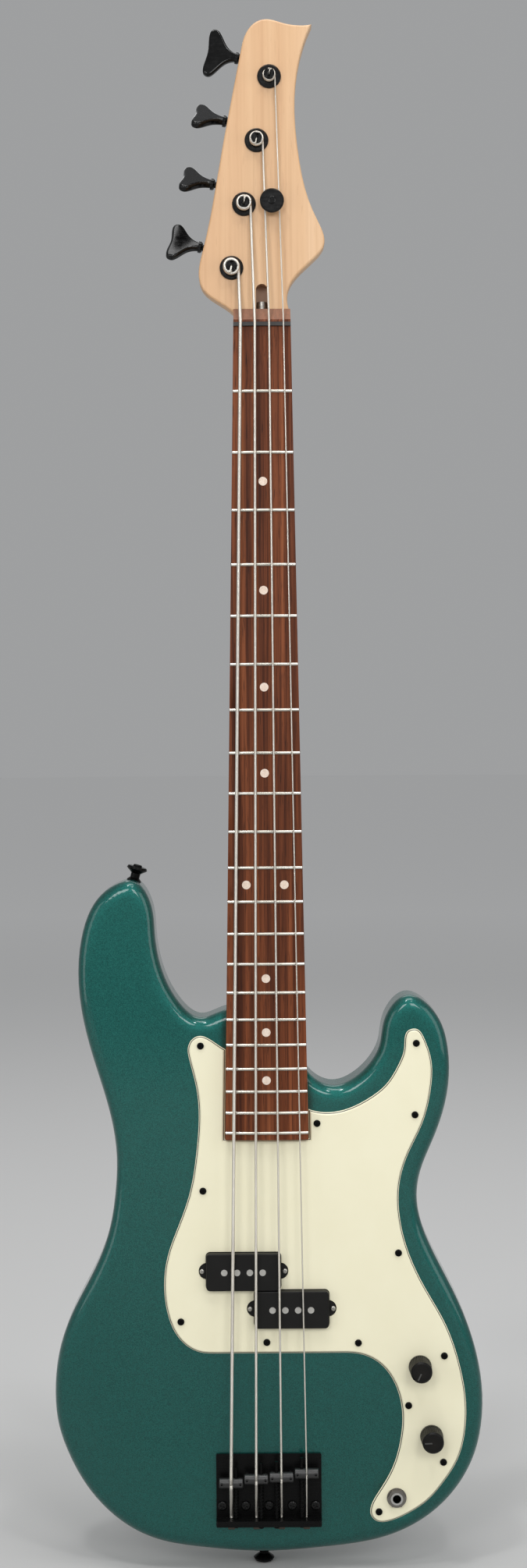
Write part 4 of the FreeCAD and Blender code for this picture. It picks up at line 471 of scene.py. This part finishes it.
PLASTICS = (  # name, shade, worn edges' shade, range of roughness, grain of the skin, its strength
    ("black_plastic", (8, 8, 7), (20, 19, 18), (0.34, 0.48), 2600.0, 0.06),
    ("nut_plastic", (18, 17, 17), (52, 50, 48), (0.3, 0.42), 2400.0, 0.05),
    ("wire_cover", (58, 56, 52), (92, 88, 82), (0.4, 0.55), 1800.0, 0.1),
    ("capacitor_cover", (150, 84, 40), (186, 118, 66), (0.35, 0.5), 1500.0, 0.1),
    ("pointer_paint", (70, 70, 68), (96, 96, 94), (0.45, 0.6), 1800.0, 0.05),
)
looks = {
    "lacquer": lacquer(),
    "maple": maple(),
    "rosewood": rosewood(),
    "string_wire": wound_wire(),
    "guard_ply": guard_ply(),
    "pearl": pearl(),
    "coil_wire": copper_winding(),
    "foam": foam_skin(),
}
for name, shade, worn, rough, grain, values in METALS:
    looks[name] = brushed(name, shade, worn, rough, grain, **values)
for name, *recipe in PLASTICS:
    looks[name] = moulded(name, *recipe)

# Nodes, by the start of their names, that show a variant of their slot's finish
VARIANTS = (
    ("tuner_key_", "black_gloss"),
    ("tuner_post_", "black_gloss"),
    ("tuner_bushings", "black_gloss"),
    ("string_retainer", "black_gloss"),
    ("bridge_screws", "black_gloss"),
    # Painted shade and painted dark reflection: these nuts take the darker steel instead of their
    # slot's finish.
    ("truss_rod_nut", "dark_steel"),
    ("control_nuts", "dark_steel"),
    ("knob_", "knob_metal"),
)


def dress(obj, look):
    """Gives a piece one material."""
    obj.data.materials.clear()
    obj.data.materials.append(looks[look])


# Mesh helpers

def placed(name, data):
    """An object of the scene, from a mesh, a light or a camera."""
    obj = bpy.data.objects.new(name, data)
    bpy.context.scene.collection.objects.link(obj)
    return obj


def formed(name, form):
    """An object of the scene from a finished bmesh, which is freed."""
    mesh = bpy.data.meshes.new(name)
    form.to_mesh(mesh)
    form.free()
    return placed(name, mesh)


def smooth(obj):
    """Shades a piece as one round surface."""
    for face in obj.data.polygons:
        face.use_smooth = True


def swept(name, path, radius, look, sides, winding=1.0):
    """A round wire along points of the design, with closed ends and a map of its winding."""
    points = [at(*p) for p in path]
    radius /= MM_PER_M
    count = len(points)
    tangents = []
    for k in range(count):
        before = points[max(k - 1, 0)]
        after = points[min(k + 1, count - 1)]
        tangents.append((after - before).normalized())
    normal = tangents[0].orthogonal().normalized()
    verts, uvs = [], []
    run = 0.0
    for k in range(count):
        if k:
            run += (points[k] - points[k - 1]).length
            turn = tangents[k - 1].rotation_difference(tangents[k])
            normal = (turn @ normal).normalized()
        side = tangents[k].cross(normal)
        for j in range(sides):
            angle = 2 * math.pi * j / sides
            spoke = normal * math.cos(angle) + side * math.sin(angle)
            verts.append(points[k] + spoke * radius)
            uvs.append((j / sides, run / winding))
    faces = []
    for k in range(count - 1):
        for j in range(sides):
            a = k * sides + j
            b = k * sides + (j + 1) % sides
            faces.append((a, b, b + sides, a + sides))
    faces.append(tuple(reversed(range(sides))))
    faces.append(tuple(range((count - 1) * sides, count * sides)))
    mesh = bpy.data.meshes.new(name)
    mesh.from_pydata([tuple(v) for v in verts], [], faces)
    layer = mesh.uv_layers.new(name="winding")
    for loop in mesh.loops:
        layer.data[loop.index].uv = uvs[loop.vertex_index]
    obj = placed(name, mesh)
    smooth(obj)
    dress(obj, look)
    return obj


def rounded(corners):
    """A line through corners, each rounded within a reach of it."""
    path = [corners[0]]
    for before, corner, after in zip(corners, corners[1:], corners[2:]):
        back = before - corner
        on = after - corner
        cut = min(BEND_REACH, back.length / 2, on.length / 2)
        start = corner + back.normalized() * cut
        end = corner + on.normalized() * cut
        for k in range(BEND_STEPS + 1):
            t = k / BEND_STEPS
            path.append(start * (1 - t) ** 2 + corner * (2 * t * (1 - t)) + end * t ** 2)
    path.append(corners[-1])
    return path


def divided(path, step):
    """The same line with points no further apart than a step."""
    out = [path[0]]
    for p, q in zip(path, path[1:]):
        parts = max(1, math.ceil((q - p).length / step))
        out += [p.lerp(q, k / parts) for k in range(1, parts + 1)]
    return out


# Strings: tail behind the saddle, speaking length, turns on the post, and the end in its slot

def touch_angle(start, centre, radius):
    """Angle about the post at which a line from a place touches the turns on the treble side."""
    away = Vector((start.x - centre.x, start.z - centre.z))
    return math.atan2(away.y, away.x) + math.acos(radius / away.length)


def string_pieces(i):
    """One string in four pieces, laid along what holds it; the end goes with its post."""
    name = NAMES[i]
    radius = STRING_R[i]
    ring = POST_WAIST_R + radius
    saddle = Vector(SADDLES[i])
    nut = Vector(NUTS[i])
    hole = Vector((saddle.x, WALL_HOLE_Y, WALL_HOLE_Z))
    mouth = Vector((saddle.x, WALL_HOLE_Y, WALL_MOUTH_Z))
    post = Vector((POSTS[i][0], 0, POSTS[i][1]))
    top = COIL_TOP[i]
    turns = COIL_HALF_TURNS[i] / 2
    low = top + COIL_PITCH[i] * turns

    def wire(piece, path):
        pitch = radius * WINDING_PITCH / MM_PER_M
        return swept(piece, path, radius, "string_wire", STRING_SIDES, pitch)

    def on_ring(angle, y, reach=ring):
        return Vector((post.x + reach * math.cos(angle), y, post.z + reach * math.sin(angle)))

    spin = touch_angle(nut, post, ring)
    corners = [saddle, nut]
    start = nut
    if RETAINER_Y[i]:
        straight = on_ring(spin, low)
        share = (RETAINER_Z - nut.z) / (straight.z - nut.z)
        start = Vector((nut.x + (straight.x - nut.x) * share, RETAINER_Y[i], RETAINER_Z))
        corners.append(start)
        spin = touch_angle(start, post, ring)
    touch = on_ring(spin, low)
    lead = touch - start
    lead.y = 0
    corners += [touch - lead.normalized() * LEVEL_RUN, touch]

    behind = divided(rounded([hole, mouth, saddle]), TAIL_STEP)
    tail = wire("string_tail_" + name, behind)
    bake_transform(tail)

    reached = saddle.lerp(nut, SADDLE_REACH / (nut - saddle).length)
    near = divided([saddle, reached], LENGTH_STEP)
    main = wire("string_" + name + "_length", near + rounded(corners)[1:])
    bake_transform(main)

    total = turns * 2 * math.pi
    steps = round(COIL_STEPS * turns)
    wound = []
    for k in range(steps + 1):
        wound.append(on_ring(spin + total * k / steps, low - COIL_PITCH[i] * turns * k / steps))
    coil = wire("string_turns_" + name, wound)
    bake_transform(coil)

    end = spin + total
    extra = (math.pi / 2 - POST_TILT - end) % math.pi
    aim = end + extra
    inside = [on_ring(end + extra * k / END_STEPS, top) for k in range(END_STEPS_KEPT)]
    for angle, share, depth in END_BENDS:
        inside.append(on_ring(aim + angle, top + depth, ring * share))
    inside.append(on_ring(aim, SLOT_FLOOR - radius - SLOT_GAP, 0.0))
    tip = wire("string_end_" + name, inside)
    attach(tip, "tuner_post_" + name)

    for piece in (tail, main, coil, tip):
        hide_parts("string_" + name)


# Length springs and foam

def spring_piece(i):
    """The spring round a length screw, from the bridge's wall to its saddle."""
    name = NAMES[i]
    start = WALL_Z + SPRING_WIRE_R
    end = SADDLES[i][2] - SADDLE_R - SPRING_WIRE_R
    steps = SPRING_TURNS * SPRING_STEPS
    path = []
    for k in range(steps + 1):
        angle = 2 * math.pi * SPRING_TURNS * k / steps
        x = SPRING_XS[i] + SPRING_R * math.cos(angle)
        y = SPRING_YS[i] + SPRING_R * math.sin(angle)
        path.append(Vector((x, y, start + (end - start) * k / steps)))
    spring = swept("length_spring_" + name, path, SPRING_WIRE_R, "black_metal", SPRING_SIDES)
    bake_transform(spring)
    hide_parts("length_springs")


def foam_piece(k):
    """The pad that presses a pickup half up."""
    name = FOAM_NAMES[k]
    x, z = FOAM_CENTRES[k]
    form = bmesh.new()
    bmesh.ops.create_cube(form, size=1.0)
    middle = at(x, (FOAM_FRONT + FOAM_BACK) / 2, z)
    width, height = FOAM_SIZE
    size = [length / MM_PER_M for length in (width, FOAM_BACK - FOAM_FRONT, height)]
    bmesh.ops.scale(form, vec=size, verts=form.verts)
    bmesh.ops.translate(form, vec=middle, verts=form.verts)
    bmesh.ops.bevel(form, geom=form.edges[:], offset=FOAM_ROUND / MM_PER_M,
                    segments=FOAM_ROUND_STEPS, affect="EDGES")
    long_edges = [e for e in form.edges if e.calc_length() > FOAM_LONG_EDGE / MM_PER_M]
    bmesh.ops.subdivide_edges(form, edges=long_edges, cuts=FOAM_CUTS, use_grid_fill=True)
    across, along = FOAM_RIPPLE_TURNS
    for vert in form.verts:
        push = math.sin(vert.co.x * across) * math.sin(vert.co.z * along)
        vert.co.y += FOAM_RIPPLE / MM_PER_M * push
    pad = formed("pickup_foam_" + name, form)
    smooth(pad)
    dress(pad, "foam")
    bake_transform(pad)
    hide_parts("pickup_foam")


def pointer_piece(knob, x, z, degrees):
    """The painted line that fills the groove in a knob's face."""
    turn = math.radians(degrees)
    along = Vector((math.sin(turn), 0, math.cos(turn)))
    side = Vector((math.cos(turn), 0, -math.sin(turn)))
    length = POINTER_END - POINTER_START
    middle = Vector((x, KNOB_TOP + POINTER_DEPTH * POINTER_MIDDLE, z))
    middle += along * (POINTER_START + length / 2)
    form = bmesh.new()
    bmesh.ops.create_cube(form, size=1.0)
    for vert in form.verts:
        spot = vert.co.copy()
        place = middle + side * (spot.x * POINTER_W) + along * (spot.z * length)
        vert.co = at(place.x, place.y + spot.y * POINTER_DEPTH * POINTER_FILL, place.z)
    bmesh.ops.recalc_face_normals(form, faces=form.faces)
    bmesh.ops.bevel(form, geom=form.edges[:], offset=POINTER_ROUND / MM_PER_M,
                    segments=POINTER_ROUND_STEPS, affect="EDGES")
    line = formed("pointer_" + knob, form)
    dress(line, "pointer_paint")
    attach(line, knob)


# Stage: floor, lights and the camera

def stage_floor():
    """A round floor, paler behind the object and far off, to meet the background softly."""
    floor = Shader("stage_pale", roughness=1.0, specular_ior_level=0.0)
    away = floor.node("ShaderNodeVectorMath", {0: floor.place}, operation="LENGTH")
    near = floor.mixed(floor.span(floor.axis("Y"), FLOOR_TO_BEHIND), FLOOR_FRONT, FLOOR_BEHIND)
    shade = floor.mixed(floor.span(away.outputs["Value"], FLOOR_TO_FAR), near, FLOOR_FAR)
    form = bmesh.new()
    bmesh.ops.create_circle(form, cap_ends=True, segments=FLOOR_SIDES, radius=FLOOR_R)
    bmesh.ops.translate(form, vec=(0, 0, cad_box[0][2]), verts=form.verts)
    sheet = formed("stage_floor", form)
    sheet.data.materials.append(floor.finish(shade))


def area_light(name, place, aim, size, energy):
    """A flat lamp at a place, turned to face a point."""
    light = bpy.data.lights.new(name, "AREA")
    light.shape = "RECTANGLE"
    light.size, light.size_y = size
    light.energy = energy
    turn = (Vector(aim) - Vector(place)).to_track_quat("-Z", "Y")
    placed(name, light).matrix_world = Matrix.Translation(place) @ turn.to_matrix().to_4x4()


def camera():
    """The photograph's camera."""
    data = bpy.data.cameras.new("camera")
    data.sensor_fit = "VERTICAL"
    data.lens = data.sensor_height * FOCAL_PX / PHOTO_H
    data.clip_end = CAMERA_FAR
    forward = Vector((0, math.cos(CAMERA_PITCH), math.sin(CAMERA_PITCH)))
    right = Vector((1, 0, 0))
    up = right.cross(forward)
    turned_right = right * math.cos(CAMERA_ROLL) + up * math.sin(CAMERA_ROLL)
    turned_up = up * math.cos(CAMERA_ROLL) - right * math.sin(CAMERA_ROLL)
    turn = Matrix((turned_right, turned_up, -forward)).transposed().to_4x4()
    obj = placed("camera", data)
    obj.matrix_world = Matrix.Translation(CAMERA_AT) @ turn
    bpy.context.scene.camera = obj


def world_light():
    """Even light from all round, and the plain view of colours."""
    world = bpy.data.worlds.new("world")
    bpy.context.scene.world = world
    world.use_nodes = True
    background = world.node_tree.nodes["Background"].inputs
    background["Color"].default_value = WORLD_COLOUR
    background["Strength"].default_value = WORLD_STRENGTH
    bpy.context.scene.view_settings.view_transform = "Standard"


for entry in frame["record"]["subparts"]:
    look = entry["material_slot"]
    for start, other in VARIANTS:
        if entry["node"].startswith(start):
            look = other
    dress(nodes[entry["node"]], look)

for i in range(len(NAMES)):
    string_pieces(i)
    spring_piece(i)
for k in range(len(FOAM_NAMES)):
    foam_piece(k)
for knob in KNOBS:
    pointer_piece(*knob)

stage_floor()
for light in LIGHTS:
    area_light(*light)
camera()
world_light()
